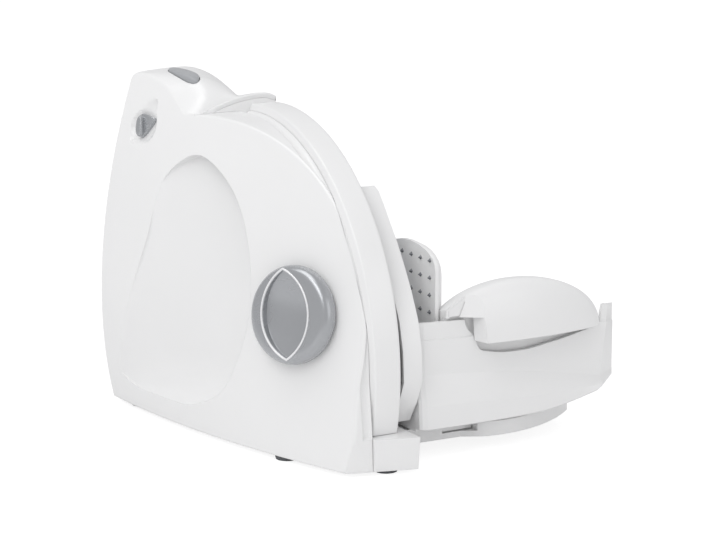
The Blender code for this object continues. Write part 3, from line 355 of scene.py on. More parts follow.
# Housing face, hood, and what is sunk into them
faceSettings = {
    "levels": (3.0, 80.0, 200.0), "near": (40.0, 25.5, -14.7), "slope": (0.225, 0.346, 0.448),
    "bulge": 1400.0, "bulgeNear": -97.0, "bulgeFar": 130.0, "rimCentre": (54.0, 62.0),
    "bodyRadius": 153.0, "floor": 3.0, "nearEnd": -104.0, "knee": (-103.0, 30.0),
    "shoulder": (-99.0, 62.0), "farLevels": (3.0, 140.0, 225.0), "farEnds": (147.0, 133.0, 138.0),
    "farTop": 234.0, "shellEnd": -21.0, "longSideFoot": 26.0, "wall": 2.8, "arcFoot": 25.0,
    "edgeRadius": 1.6, "edgeDepth": 0.9,
    # The cove behind the rim: its circle's radius, place along X, size, and share of that size in use
    "cove": (155.4, -24.6, 4.4, 0.95),
}
hoodSettings = {
    "lipY": 70.0, "lipCrest": 226.0, "lipCrestX": -10.0, "lipFall": 0.0055, "lipTipFall": 0.03,
    "slopeRadius": 164.5, "slopeShare": 1.25, "ridgeX": -40.0, "ridgeRun": 0.27, "rightFall": 0.013,
    "leftFall": 0.0015, "topRise": 0.03, "farY": 138.0, "top": 238.0, "noseLength": 22.0,
    "noseGrowth": 33.0, "nosePower": 1.2, "noseRound": 0.5, "shelf": 1.6, "flankX": -50.0,
    "flankWidth": 20.0, "valley": 1.0, "sunk": 0.25, "corner": 4.0,
    "lipBand": 4.0, "undercut": 14.0, "undercutRun": 1.5, "leastProud": 2.0,
    # Columns just behind the lip. Hollow: place, share of the undercut, share of the height over it
    "hollowColumns": [(0.02, 1.0, 0.0), (0.04, 1.0, 1.0), (0.06, 0.06, 1.0)],
    # The band's rounded edge: place, how far it drops, how far it lies behind the lip
    "bandColumns": [(0.1, 1.2, 0.0), (0.3, 0.35, 0.25)],
    "columnReach": 0.005, "bandEnd": 0.7, "softStart": 0.3, "softRun": 8.0,
}
# The block's end face, in degrees and millimetres, and how high it cuts the housing
endSettings = {"turn": 15.4, "lean": 6.0, "y": -110.0, "top": 60.0}


def through(levels, values, at):
    """The quadratic through three values."""
    (a, b, c), (p, q, r) = levels, values
    first, second = (q - p) / (b - a), (r - q) / (c - b)
    return p + first * (at - a) + (second - first) / (c - a) * (at - a) * (at - b)


def faceX(y, z, s=faceSettings):
    """The face: an offset and a slope that change with height, and a bulge in plan."""
    offset = through(s["levels"], s["near"], z)
    slope = through(s["levels"], s["slope"], z)
    along = y - s["bulgeNear"]
    return -(offset + slope * along + along * (s["bulgeFar"] - y) / s["bulge"])


def farEnd(z, s=faceSettings):
    """The Y of the housing's far side."""
    return through(s["farLevels"], s["farEnds"], z)


def discZ(y, s=faceSettings):
    """The round body's top."""
    cy, cz = s["rimCentre"]
    return cz + np.sqrt(np.maximum(s["bodyRadius"] ** 2 - (y - cy) ** 2, 0))


def roofZ(x, y, s=hoodSettings):
    """The hood's height: a nose that rises behind the lip into a long rounded top."""
    cy = faceSettings["rimCentre"][0]
    x = np.minimum(x, 0.0)
    flank = np.clip((s["flankX"] - x) / s["flankWidth"], 0, 1)
    bend = np.where(x < s["lipCrestX"], s["lipFall"], s["lipTipFall"])
    atLip = math.sqrt(s["slopeRadius"] ** 2 - (s["lipY"] - cy) ** 2)
    drop = atLip - np.sqrt(s["slopeRadius"] ** 2 - (y - cy) ** 2)
    low = s["lipCrest"] - bend * (x - s["lipCrestX"]) ** 2 - s["slopeShare"] * drop
    crest = s["ridgeX"] - s["ridgeRun"] * (s["farY"] - y)
    fall = np.where(x > crest, s["rightFall"], s["leftFall"])
    high = s["top"] - fall * (x - crest) ** 2 - s["topRise"] * (s["farY"] - y)
    run = s["noseLength"] + s["noseGrowth"] * flank ** s["nosePower"]
    back = np.clip(1 - (y - s["lipY"] - s["shelf"]) / run, 0, 1)
    return low + np.maximum(high - low, 0) * (1 - back**2) ** (s["noseRound"] + flank)


def softMax(a, b, width):
    """The larger of two heights, with a rounded join of that width."""
    return 0.5 * (a + b + np.sqrt((a - b) ** 2 + width**2))


def topZ(x, y, s=hoodSettings):
    """The housing's top over a place: the round body's or the hood's, with a soft valley between."""
    return softMax(roofZ(x, y), discZ(y), s["valley"]) - s["sunk"]


scoopSettings = {
    "outline": [(58, 189), (26, 174), (4, 146), (-9, 108), (-8, 72), (8, 38), (42, 21), (88, 19), (124, 28),
                (120, 58), (100, 92), (87, 130), (82, 168)],
    "spanSteps": 24, "middle": (70.0, 100.0), "depth": 26.0, "near": -10.0, "bottom": 20.0, "blend": 32.0,
    "edgeLevels": (30.0, 95.0, 170.0), "edge": (124.0, 99.0, 82.0),
    "wallSteepness": 20.0, "wallPower": 1.25, "floorRound": 3.0,
}


def scoopDepth(y, z, s=scoopSettings):
    """Deepest at its near edge, a parabola across, run out at its far edge and its foot."""
    across = np.clip((y - s["near"]) / (through(s["edgeLevels"], s["edge"], z) - s["near"]), 0, 1)
    rise = np.clip((z - s["bottom"]) / s["blend"], 0, 1)
    return s["depth"] * (1 - across**2) * np.sqrt(rise * (2 - rise))


def smoothLoop(points, perSpan):
    """A closed smooth curve through points, by Catmull-Rom spans."""
    p = np.asarray(points, float)
    before, after, last = np.roll(p, 1, 0), np.roll(p, -1, 0), np.roll(p, -2, 0)
    t = (np.arange(perSpan) / perSpan)[None, :, None]
    a, b, c, d = (q[:, None, :] for q in (before, p, after, last))
    square, cube = 2 * a - 5 * b + 4 * c - d, 3 * b - a - 3 * c + d
    return (0.5 * (2 * b + (c - a) * t + square * t**2 + cube * t**3)).reshape(-1, 2)


lockSettings = {
    "axis": (112.0, 202.0), "grooveTop": (108.5, 218.0), "grooveFoot": (119.5, 193.0), "halfWidth": 7.0,
    "leastWidth": 0.01, "runOut": 2.0, "depth": 4.0, "steepness": 5.0,
    "dishRadius": 12.0, "dishDepth": 4.8, "dishPower": 4,
}


def lockDish(y, z, s=lockSettings):
    """A diagonal finger groove, steep on its right and soft on its left, and a round dish for the lock."""
    (ay, az), (by, bz) = s["grooveTop"], s["grooveFoot"]
    length = math.hypot(by - ay, bz - az)
    dy, dz = (by - ay) / length, (bz - az) / length
    along = (y - ay) * dy + (z - az) * dz
    across = -(y - ay) * dz + (z - az) * dy + s["halfWidth"]
    taper = np.sqrt(np.clip(1 - ((along - 0.5 * length) / (0.5 * length + s["runOut"])) ** 2, 0, 1))
    width = 2 * s["halfWidth"] * taper + s["leastWidth"]
    start = s["halfWidth"] * (1 - taper)
    share = np.clip((across - start) / width, 0, 1)
    steep = s["steepness"] * np.clip(across - start, 0, None)
    groove = np.minimum(s["depth"] * (1 - share**2), steep) * np.sqrt(taper)
    groove = np.where(across > start, groove, 0.0)
    reach = np.hypot(y - s["axis"][0], z - s["axis"][1]) / s["dishRadius"]
    dish = s["dishDepth"] * np.clip(1 - reach ** s["dishPower"], 0, 1)
    return np.maximum(groove, dish)


# How finely the housing's skin is divided: columns round each stretch, and rows on its two sides
columnSettings = {
    "near": 16, "arc": 170, "hood": 70, "hoodCrowding": 1.4, "corner": 8, "far": 120, "floor": 90,
    "firstHeight": 215.0, "rounds": 60,
}
rowSettings = {
    "replaced": 3, "edgeShare": 0.9, "borderInset": 1.6, "roofInset": 1.3, "edgeSteps": (0.15, 0.4),
    "crowding": 1.8, "spread": 6.0, "borderShare": 0.01,
}
outerRows = {
    "inside": 26, "outside": 56, "side": [0.004, 0.012, 0.025, 0.04, *np.linspace(0.06, 1, 30)],
    "edge": [0.0, 0.05, 0.12, 0.22, 0.36, 0.55, 0.8, 1.1, 1.5, 2.0, 2.7, 3.6, 5.0, 7.0, 10.0],
}
innerRows = {"inside": 22, "outside": 14, "side": np.linspace(0.1, 1, 8), "edge": [0.0, 1.0, 2.0, 4.0, 7.0]}


def housingOutline(s=faceSettings, h=hoodSettings, c=columnSettings):
    """Columns round the housing: where each meets the face's border, and which stretch it is on."""
    (cy, cz), radius = s["rimCentre"], s["bodyRadius"]
    heel, knee, shoulder = np.array([(s["nearEnd"], s["floor"]), s["knee"], s["shoulder"]])
    t = np.linspace(0, 1, c["near"])[:, None]
    near = np.concatenate([(1 - t) * heel + t * knee, (1 - t[1:]) * knee + t[1:] * shoulder])
    a = np.linspace(math.pi, math.acos((h["lipY"] - cy) / radius), c["arc"])[1:]
    arc = np.stack([cy + radius * np.cos(a), cz + radius * np.sin(a)], 1)
    last = farEnd(s["farTop"]) - h["corner"]
    lipSteps = [column[0] for column in h["hollowColumns"] + h["bandColumns"]] + [h["bandEnd"]]
    spread = np.linspace(0, 1, c["hood"])[1:] ** c["hoodCrowding"]
    behind = h["lipY"] + h["bandEnd"] + (last - h["lipY"] - h["bandEnd"]) * spread
    y = np.concatenate([h["lipY"] + np.array(lipSteps), behind])
    # The face leans, so the border's height is found by trying it again and again
    z = np.full_like(y, c["firstHeight"])
    for _ in range(c["rounds"]):
        z = topZ(faceX(y, z), y)
    hood = np.stack([y, z], 1)
    turn = np.linspace(0, math.pi / 2, c["corner"])[1:]
    corner = np.stack([last + h["corner"] * np.sin(turn), z[-1] - h["corner"] * (1 - np.cos(turn))], 1)
    z = np.linspace(corner[-1, 1], s["floor"], c["far"])[1:]
    far = np.stack([farEnd(z), z], 1)
    y = np.linspace(farEnd(s["floor"]), s["nearEnd"], c["floor"])[1:-1]
    floor = np.stack([y, np.full_like(y, s["floor"])], 1)
    stretches = {"near": near, "arc": arc, "hood": hood, "corner": corner, "far": far, "floor": floor}
    kinds = np.concatenate([np.full(len(points), kind) for kind, points in stretches.items()])
    return np.concatenate(list(stretches.values())), kinds


def endPlaneY(x, z, s=endSettings):
    """The block's end face: turned in plan, and leaning out upwards from the housing's floor."""
    turn, lean = math.radians(s["turn"]), math.radians(s["lean"])
    return s["y"] - math.tan(turn) * x - (z - faceSettings["floor"]) * math.tan(lean) / math.cos(turn)


def scoopReachOf(ray, c=scoopSettings):
    """How far the scoop's outline lies from its middle, along each column's ray."""
    loop = smoothLoop(c["outline"], c["spanSteps"]) - np.array(c["middle"])
    angle = np.arctan2(loop[:, 1], loop[:, 0])
    order = np.argsort(angle)
    reach = np.linalg.norm(loop, axis=1)[order]
    return np.interp(np.arctan2(ray[:, 1], ray[:, 0]), angle[order], reach, period=fullTurn)


def faceRows(points, hooded, inset, steps, s=faceSettings, c=scoopSettings, r=rowSettings):
    """Rows over the face, from the scoop's middle out to the border."""
    middle = np.array(c["middle"])
    ray = points - middle
    reach = np.linalg.norm(ray, axis=1)
    unit = ray / reach[:, None]
    scoopReach = scoopReachOf(ray) + inset
    inner = [scoopReach * t for t in np.linspace(0, 1, steps["inside"])[: -r["replaced"]]]
    inner += [np.maximum(scoopReach - d, scoopReach * r["edgeShare"]) for d in reversed(steps["edge"])]
    reach = reach - inset * r["borderInset"]
    firstStep, secondStep = r["edgeSteps"]
    start = scoopReach + secondStep
    shares = 1 - np.linspace(1, 0, steps["outside"])[1:] ** r["crowding"]
    outer = [scoopReach + firstStep, start, *[start + (reach - start) * t for t in shares]]
    radii = np.maximum.accumulate(np.array(inner + outer), axis=0)
    y = middle[0] + unit[None, :, 0] * radii
    z = middle[1] + unit[None, :, 1] * radii
    # The scoop's near wall drops steeply and rounds into its floor
    sunk = np.maximum(scoopReach[None] - radii, 0.0)
    wall = c["wallSteepness"] * sunk ** c["wallPower"]
    depth = np.clip(-softMax(-wall, -scoopDepth(y, z), c["floorRound"]), 0, None)
    depth = np.where(sunk > 0, depth, 0.0)
    # Off the hood, the border is rounded over
    edge, radius = reach[None] - radii, s["edgeRadius"]
    lift = radius - np.sqrt(np.maximum(radius**2 - (radius - edge) ** 2, 0))
    lift = np.where((edge < radius) & ~hooded[None], lift * s["edgeDepth"], 0.0)
    x = faceX(y, z) + depth + lockDish(y, z) + (inset if inset else lift)
    return np.stack([x, y, z], -1)


def lipShaped(wallX, wallY, top, disc, points, kinds, hooded, h=hoodSettings):
    """The lip: a band with a rounded upper edge over a square hollow."""
    fromLip = points[:, 0] - h["lipY"]
    proud = np.maximum(top - disc, 0)
    hollow = h["undercut"] * np.clip((proud - h["lipBand"]) / h["undercutRun"], 0, 1)
    for at, back, height in h["hollowColumns"]:
        here = hooded & (np.abs(fromLip - at) < h["columnReach"])
        under = disc + (proud - h["lipBand"]).clip(0) * height
        wallY = np.where(here, h["lipY"] + hollow * back, wallY)
        top = np.where(here, np.minimum(under, top), top)
    for at, lower, behind in h["bandColumns"]:
        here = hooded & (np.abs(fromLip - at) < h["columnReach"])
        wallY = np.where(here, h["lipY"] + behind, wallY)
        top = np.where(here & (proud > h["leastProud"]), top - lower, top)
    # The arc's last column goes in with the hollow
    lastArc = np.where(kinds == "arc")[0][-1]
    proudAtLip = topZ(wallX, np.full(len(points), h["lipY"])) - discZ(h["lipY"]) - h["lipBand"]
    wallY[lastArc] += h["undercut"] * np.clip(proudAtLip[lastArc] / h["undercutRun"], 0, 1)
    return wallY, top


def sideRows(points, kinds, hooded, inset, border, steps, s=faceSettings, h=hoodSettings, r=rowSettings):
    """Rows along the side, from the face's border to its end. A cove hollows it behind the rim."""
    onArc = (kinds == "arc") | ((kinds == "near") & (points[:, 1] > s["arcFoot"]))
    longSide = hooded | ((kinds == "far") & (points[:, 1] > s["longSideFoot"]))
    end = np.where(longSide, 0.0, s["shellEnd"])
    along = np.roll(points, -1, 0) - np.roll(points, 1, 0)
    outward = np.stack([-along[:, 1], along[:, 0]], 1)
    outward /= np.linalg.norm(outward, axis=1)[:, None]
    outward *= np.sign((outward * (points - np.array(scoopSettings["middle"]))).sum(1))[:, None]
    outward[hooded] = (0.0, 1.0)
    base = points - outward * inset
    coveRadius, coveX, coveSize, coveShare = s["cove"]
    roofInset = inset * r["roofInset"]
    corner = points[np.where(kinds == "corner")[0][-1]]
    drop = np.where(kinds == "corner", points[:, 1] - points[np.where(kinds == "hood")[0][-1], 1], 0.0)
    rows = []
    for t in steps["side"]:
        wallX = border[:, 0] + (end - border[:, 0]) * t
        share = min(t * r["spread"], 1.0)
        wallY = border[:, 1] + (base[:, 0] - border[:, 1]) * share
        wallZ = border[:, 2] + (base[:, 1] - border[:, 2]) * share
        # Off the hood, the lip's Y stands in, and what it gives there isn't used
        top = topZ(wallX, np.where(hooded, wallY, h["lipY"])) - roofInset
        disc = discZ(np.where(hooded, points[:, 0], h["lipY"])) - roofInset
        if not inset:
            gap = np.clip(1 - ((wallX - coveX) / (coveSize * coveShare)) ** 2, 0, 1)
            deep = np.maximum(coveSize * np.sqrt(gap) - (coveRadius - s["bodyRadius"]), 0)
            sink = np.where(onArc, deep, 0)
            wallY = wallY - outward[:, 0] * sink
            wallZ = wallZ - outward[:, 1] * sink
            wallY, top = lipShaped(wallX, wallY, top, disc, points, kinds, hooded)
        # The far side is as high as the hood's last corner over the same place
        edgeZ = topZ(wallX, np.full(len(points), corner[0])) - roofInset + drop.min()
        share = np.minimum((edgeZ - s["floor"]) / (corner[1] - inset - s["floor"]), 1.0)
        wallZ = np.where(kinds == "far", s["floor"] + (wallZ - s["floor"]) * share, wallZ)
        wallZ = np.where(hooded & (t >= r["borderShare"]), top + drop, wallZ)
        rows.append(np.stack([wallX, wallY, wallZ], 1))
    return np.array(rows)


def housingRows(points, kinds, inset, steps):
    """Rows over the face and along the side, and how many of them are the face's."""
    hooded = np.isin(kinds, ("hood", "corner"))
    face = faceRows(points, hooded, inset, steps)
    side = sideRows(points, kinds, hooded, inset, face[-1], steps)
    return np.concatenate([face, side]), len(face)


def softened(rows, centre, columns, width, rounds):
    """Evens rows out around a border, for the columns given."""
    for _ in range(rounds):
        block = rows[centre - width : centre + width + 1]
        mean = 0.25 * block[:-2] + 0.5 * block[1:-1] + 0.25 * block[2:]
        weight = columns[None, :, None]
        rows[centre - width + 1 : centre + width] = block[1:-1] * (1 - weight) + mean * weight
    return rows


buttonSettings = {
    "at": (-52.0, 107.0), "length": 42.0, "width": 12.5, "gap": 0.6, "points": 72, "hole": (218.0, 250.0),
    "underside": 222.5,
    # The pad's rings: scale, and height over the hood
    "pad": [(1.0, -4.0), (1.0, -1.0), (1.0, 0.2), (0.985, 0.7), (0.95, 1.1), (0.9, 1.35), (0.84, 1.5),
            (0.7, 1.6), (0.5, 1.65), (0.25, 1.65), (0.02, 1.65)],
    # Flange and stem: length, width, points, foot and top
    "flange": (36.0, 17.5, 48, 220.7, 223.0), "stem": (6.0, 6.0, 24, 218.1, 221.0),
}


def ovalPoints(length, width, count, scale=1.0, s=buttonSettings):
    """An oval about the button's place: its length runs along Y."""
    a = circle(count)
    return np.stack([0.5 * width * np.cos(a), 0.5 * length * np.sin(a)], 1) * scale + np.array(s["at"])


def buildHousing(s=faceSettings, h=hoodSettings, b=buttonSettings, e=endSettings):
    points, kinds = housingOutline()
    outer, count = housingRows(points, kinds, 0.0, outerRows)
    hooded = np.isin(kinds, ("hood", "corner"))
    soft = np.clip((points[:, 0] - h["lipY"] - h["softStart"]) / h["softRun"], 0, 1) * hooded
    outer = softened(outer, count, soft, width=7, rounds=22)
    outer = softened(outer, count, np.where(kinds == "far", 1.0, 0.0), width=3, rounds=4)
    inner, _ = housingRows(points, kinds, s["wall"], innerRows)
    rows = np.concatenate([outer, inner[::-1]])
    low = (rows[..., 2] < e["top"]) & np.isin(kinds, ("near", "floor", "arc"))[None]
    limit = endPlaneY(rows[..., 0], rows[..., 2])
    limit[len(outer):] += s["wall"]
    rows[..., 1] = np.where(low, np.maximum(rows[..., 1], limit), rows[..., 1])
    skin = closedMesh(gridMesh("housingSkin", rows), cadMerge)
    oval = ovalPoints(b["length"] + 2 * b["gap"], b["width"] + 2 * b["gap"], b["points"])
    mesh = carved(skin, prismMesh(oval, *b["hole"], "Z"))
    addPiece("housingSkin", mesh, "mouldedAbs", "housing", ["housing_shell"], sharp=28)


buildHousing()
print("housing skin made")


# On button: a long oval pad that follows the hood's crest
def buildButton(s=buttonSettings):
    foot = ovalPoints(s["length"], s["width"], s["points"])
    rings = [np.column_stack([foot, np.full(s["points"], s["underside"])])]
    for scale, rise in s["pad"]:
        oval = ovalPoints(s["length"], s["width"], s["points"], scale)
        crest = roofZ(np.full(s["points"], s["at"][0]), oval[:, 1])
        rings.append(np.column_stack([oval, crest + rise]))
    mesh = solidMesh("buttonPad", rings)
    for length, width, count, low, high in (s["flange"], s["stem"]):
        mesh = joined(mesh, prismMesh(ovalPoints(length, width, count), low, high, "Z"))
    addPiece("onButtonPad", mesh, "greyButtonPlastic", "button", ["on_button"], sharp=40)


buildButton()
print("button made")

# Guard rim: a plain flange, its profile of radius and X carried round the rim's centre
rimSettings = {
    "profile": [(154.6, -17.8), (154.6, -1.0), (154.9, -0.2), (155.4, 0.0), (156.3, 0.0), (157.0, -0.25),
                (157.45, -0.9), (157.5, -1.8), (157.5, -17.4), (157.3, -18.4), (156.7, -19.0),
                (155.6, -19.3), (153.8, -20.4), (153.0, -20.7), (140.0, -20.7), (140.0, -17.8)],
    "radius": 157.5, "footZ": 25.3, "endY": 82.5, "columns": 220,
}


def buildRim(s=rimSettings):
    cy, cz = faceSettings["rimCentre"]
    radii, xs = np.array(s["profile"]).T
    first = math.pi + math.asin((cz - s["footZ"]) / s["radius"])
    last = math.acos((s["endY"] - cy) / s["radius"])
    a = np.linspace(first, last, s["columns"])[:, None]
    rows = np.stack([xs + 0 * a, cy + radii * np.cos(a), cz + radii * np.sin(a)], -1)
    mesh = solidMesh("rimFlange", rows)
    addPiece("rimFlange", mesh, "mouldedAbs", "housing", ["guard_rim"], sharp=40)


buildRim()
print("rim made")

# Thickness knob: a turned cap with a leaf-shaped grip sunk into it
knobSettings = {
    "centre": (-47.2, 98.0), "stand": 0.8, "points": 120,
    "profile": [(0.0, 0.0), (30.6, 0.0), (31.4, 0.3), (32.2, 1.5), (32.5, 3.2), (32.4, 5.0), (31.9, 6.8),
                (31.0, 8.3), (29.8, 9.5), (28.4, 10.2), (26.5, 10.5), (12.0, 10.5), (0.0, 10.5)],
    "leafReach": 28.8, "leafHalf": 18.2, "leafShift": -2.3, "leafTurn": 11.0, "leafPoints": 40,
    "floorRadius": 78.0, "floorDepth": 7.4, "floorShares": (0.985, 0.93, 0.82, 0.68, 0.52, 0.35, 0.18, 0.02),
    "chamfer": 1.2, "chamferTop": 0.2, "cutTop": 40.0,
    "beadOut": 0.7, "beadDrop": 0.25, "beadRadius": 0.75, "beadSides": 12,
}


def faceNormal(y, z):
    """The face's outward direction, from its rise over one millimetre each way."""
    byY, byZ = faceX(y + 0.5, z) - faceX(y - 0.5, z), faceX(y, z + 0.5) - faceX(y, z - 0.5)
    return Vector((-1.0, byY, byZ)).normalized()


def faceTurn(y, z):
    """Local axes on the face: X towards the near end, Y up the face, Z out of it."""
    out = faceNormal(y, z)
    side = Vector((0, 0, 1)).cross(out).normalized()
    return Matrix((side, out.cross(side), out)).transposed()


def placed(rings, origin, turn):
    """Rings of local points, turned and moved to their place."""
    return [[tuple(Vector(origin) + turn @ Vector(point)) for point in ring] for ring in rings]


def leafOutline(s):
    """Two equal arcs that meet in a point at each end."""
    reach, half = s["leafReach"], s["leafHalf"]
    radius = (reach**2 + half**2) / (2 * half)
    swing = math.asin(reach / radius)
    angles = np.linspace(-swing, swing, s["leafPoints"])[:-1]
    leaf = [(half - radius + radius * math.cos(b), radius * math.sin(b)) for b in angles]
    return leaf + [(-x, -y) for x, y in leaf]


def leafRing(s, share, extra, height=None):
    """The leaf scaled, grown and turned, at a height or on the grip's hollow floor."""
    cosT, sinT = math.cos(math.radians(s["leafTurn"])), math.sin(math.radians(s["leafTurn"]))
    growX, growY = share * (1 + extra / s["leafHalf"]), share * (1 + extra / s["leafReach"])
    ring = [(x * growX, y * growY) for x, y in leafOutline(s)]
    ring = [(x * cosT - y * sinT + s["leafShift"], x * sinT + y * cosT) for x, y in ring]
    if height is not None:
        return [(x, y, height) for x, y in ring]
    ballZ = s["profile"][-1][1] - s["floorDepth"] + s["floorRadius"]
    return [(x, y, ballZ - math.sqrt(s["floorRadius"] ** 2 - x * x - y * y)) for x, y in ring]


def buildKnob(s=knobSettings):
    origin = Vector((faceX(*s["centre"]), *s["centre"])) + faceNormal(*s["centre"]) * s["stand"]
    turn = faceTurn(*s["centre"])
    body = [[(r * math.cos(a), r * math.sin(a), z) for a in circle(s["points"])] for r, z in s["profile"]]
    cap = closedMesh(gridMesh("knobBody", placed(body, origin, turn)))
    # The leaf widens over its last millimetre into a chamfer that catches the light
    top, wide = s["profile"][-1][1], s["chamfer"]
    rings = [leafRing(s, 1.0, wide, s["cutTop"]), leafRing(s, 1.0, wide, top - s["chamferTop"])]
    rings.append(leafRing(s, 1.0, 0.0, top - wide))
    rings += [leafRing(s, share, 0.0) for share in s["floorShares"]]
    cap = carved(cap, solidMesh("leafScoop", placed(rings, origin, turn)))
    # A near-white bead lies on the leaf's edge, a painted highlight along it
    edge = np.array(leafRing(s, 1.0, s["beadOut"], top - s["beadDrop"]))
    forward = np.roll(edge, -1, 0) - np.roll(edge, 1, 0)
    forward /= np.linalg.norm(forward, axis=1)[:, None]
    sideways = np.cross(forward, (0.0, 0.0, 1.0))
    bead = [edge + s["beadRadius"] * (sideways * math.cos(a) + np.array([0.0, 0.0, math.sin(a)]))
            for a in circle(s["beadSides"])]
    bead = np.transpose(np.array(bead), (1, 0, 2))
    bead = np.concatenate([bead, bead[:1]])
    beadMesh = closedMesh(gridMesh("leafBead", placed(bead.tolist(), origin, turn)))
    addPiece("leafBead", beadMesh, "paintedHighlightSilver", "knob", ["thickness_knob"], sharp=60)
    addPiece("knobCap", cap, "silverLacquer", "knob", ["thickness_knob"], sharp=24)


buildKnob()
print("knob made")

# Hand guard: a long dome with its near left corner planed off
domeSettings = {
    "centre": (94.5, -91.0, 77.4), "reach": (66.0, 13.5, 38.5), "depth": 40.0, "insetDrop": 1.0,
    "outerSteps": (120, 64), "innerSteps": (60, 32), "ribSteps": (90, 48),
    "wall": 2.6, "leftEnd": 40.7, "leftWall": 3, "facetWall": 4.0,
    # Slanted planes: a point and the outward direction
    "end": ((65.6, -103.1, 77.4), (-0.957, -0.277, -0.08)),
    "facet": ((63.7, -101.3, 94.0), (-0.56, -0.79, 0.244)),
    "endFoot": 30, "facetFoot": 90, "facetTop": 130, "facetFar": -91.0, "facetOverlap": 0.2,
    "slot": (-91.6, -87.4, 94.5), "slotEdge": [(81.7, 73.0), (78.0, 81.0), (71.8, 92.0)],
    "back": [(-80.6, 34.0), (-80.6, 122.0), (-79.6, 126.6), (-77.2, 130.0), (-73.5, 133.0), (-68.0, 135.6),
             (-60.0, 137.4), (-50.0, 138.0), (-40.0, 136.6), (-30.0, 134.0), (-20.0, 129.4), (-12.0, 124.0),
             (-12.0, 34.0)],
    "backX": (40.2, 43.3),
    # The web and the skirt's top take the dome's form, this far inside it; the skirt's foot is plain
    "web": (0.4, (42.5, -91.3, 95.4), (72.0, -89.0, 130.0)),
    "skirtTop": (0.6, (42.5, -87.2, 78.0), (158.0, -85.2, 99.0)),
    "skirtFoot": ((42.5, -87.2, 58.0), (156.0, -85.2, 80.0)),
}


def domeMesh(inset, steps, s=domeSettings):
    """The dome, or the same form inset on all sides and dropped a little."""
    (cx, cy, cz), (rx, ry, rz) = s["centre"], s["reach"]
    along, around = steps
    a = np.linspace(0, math.pi, along + 1)[1:-1, None]
    b = np.linspace(0, math.pi, around + 1)[None, :]
    deep = np.where(b < math.pi / 2, ry, s["depth"]) - inset
    x = cx - (rx - inset) * np.cos(a) + 0 * b
    y = cy - deep * np.cos(b) * np.sin(a)
    z = cz + (rz - inset) * np.sin(b) * np.sin(a) - (s["insetDrop"] if inset else 0.0)
    return solidMesh("dome", np.stack([x, y, z], -1))


def leftOf(plane, shift, far, low, high):
    """Everything on the left of a slanted plane, up to a Y value and between two heights."""
    (px, py, pz), (nx, ny, nz) = plane
    near = clear["near"]

    def planeX(y, z):
        return px + shift - (ny * (y - py) + nz * (z - pz)) / nx

    return solidMesh("left", [
        [(0, near, z), (planeX(near, z), near, z), (planeX(far, z), far, z), (0, far, z)] for z in (low, high)
    ])


def buildDome(s=domeSettings):
    front, back, top = s["slot"]
    inside = carved(domeMesh(s["wall"], s["innerSteps"]), cutBox(right=s["leftEnd"] + s["leftWall"]))
    inside = carved(
        inside, leftOf(s["end"], s["wall"], front, s["endFoot"], top),
        leftOf(s["facet"], s["facetWall"], front, s["facetFoot"], s["facetTop"]),
    )
    edge = s["slotEdge"]
    room = [(0.0, edge[0][1]), *edge, (edge[-1][0], top), (0.0, top)]
    mesh = carved(
        domeMesh(0.0, s["outerSteps"]), cutBox(right=s["leftEnd"]), inside,
        leftOf(s["end"], 0.0, back, s["endFoot"], top),
        leftOf(s["facet"], 0.0, s["facetFar"], top - s["facetOverlap"], s["facetTop"]),
        prismMesh(room, front, back, "Y"),
    )
    mesh = joined(mesh, prismMesh(s["back"], *s["backX"], "X"))
    # A web over the carriage's wall and a skirt behind it close the guard's end and foot
    for inset, low, high in (s["web"], s["skirtTop"]):
        mesh = joined(mesh, combined(domeMesh(inset, s["ribSteps"]), boxMesh(low, high), "INTERSECT"))
    mesh = joined(mesh, boxMesh(*s["skirtFoot"]))
    addPiece("handGuard", mesh, "mouldedAbs", "holder", ["holder_guard"], sharp=24)


buildDome()
print("hand guard made")

# Spiked plate: rounded corners and level rows of small pyramids
spikeSettings = {
    "face": 37.1, "back": 39.9, "rows": 8, "columns": 6, "pitch": (12.0, 11.5), "first": (-76.4, 131.0),
    "half": 2.1, "tip": 0.12, "tall": 2.2, "root": 0.5, "tint": "6E7176", "tintGap": 0.1,
    "outline": [(-83, 33), (-83, 124), (-82.2, 128.4), (-80, 131.6), (-76, 134.4), (-70, 137),
                (-60, 139.2), (-50, 139.8), (-40, 139.2), (-30, 137), (-21, 132.8), (-14, 127), (-9, 119),
                (-8, 114), (-8, 33)],
}
made["spikedAbs"] = spikedMaterial("spikedAbs", finishes["mouldedAbs"], spikeSettings)


def spikeMesh(y, z, s=spikeSettings):
    """A four-sided spike, its root sunk into the plate."""
    rings = []
    for proud, size in ((-s["root"], s["half"]), (s["tall"], s["tip"])):
        corners = ((-1, 0), (0, -1), (1, 0), (0, 1))
        rings.append([(s["face"] - proud, y + u * size, z + v * size) for u, v in corners])
    return solidMesh("spike", rings)


def buildSpikePlate(s=spikeSettings):
    mesh = prismMesh(s["outline"], s["face"], s["back"], "X")
    for row in range(s["rows"]):
        # The plate's rounded corner leaves no room for the top row's last spike
        columns = s["columns"] - 1 if row == 0 else s["columns"]
        for column in range(columns):
            y, z = s["first"][0] + column * s["pitch"][0], s["first"][1] - row * s["pitch"][1]
            mesh = joined(mesh, spikeMesh(y, z))
    addPiece("spikedPlate", mesh, "spikedAbs", "holder", ["spike_plate"], sharp=30)


buildSpikePlate()
print("spiked plate made")

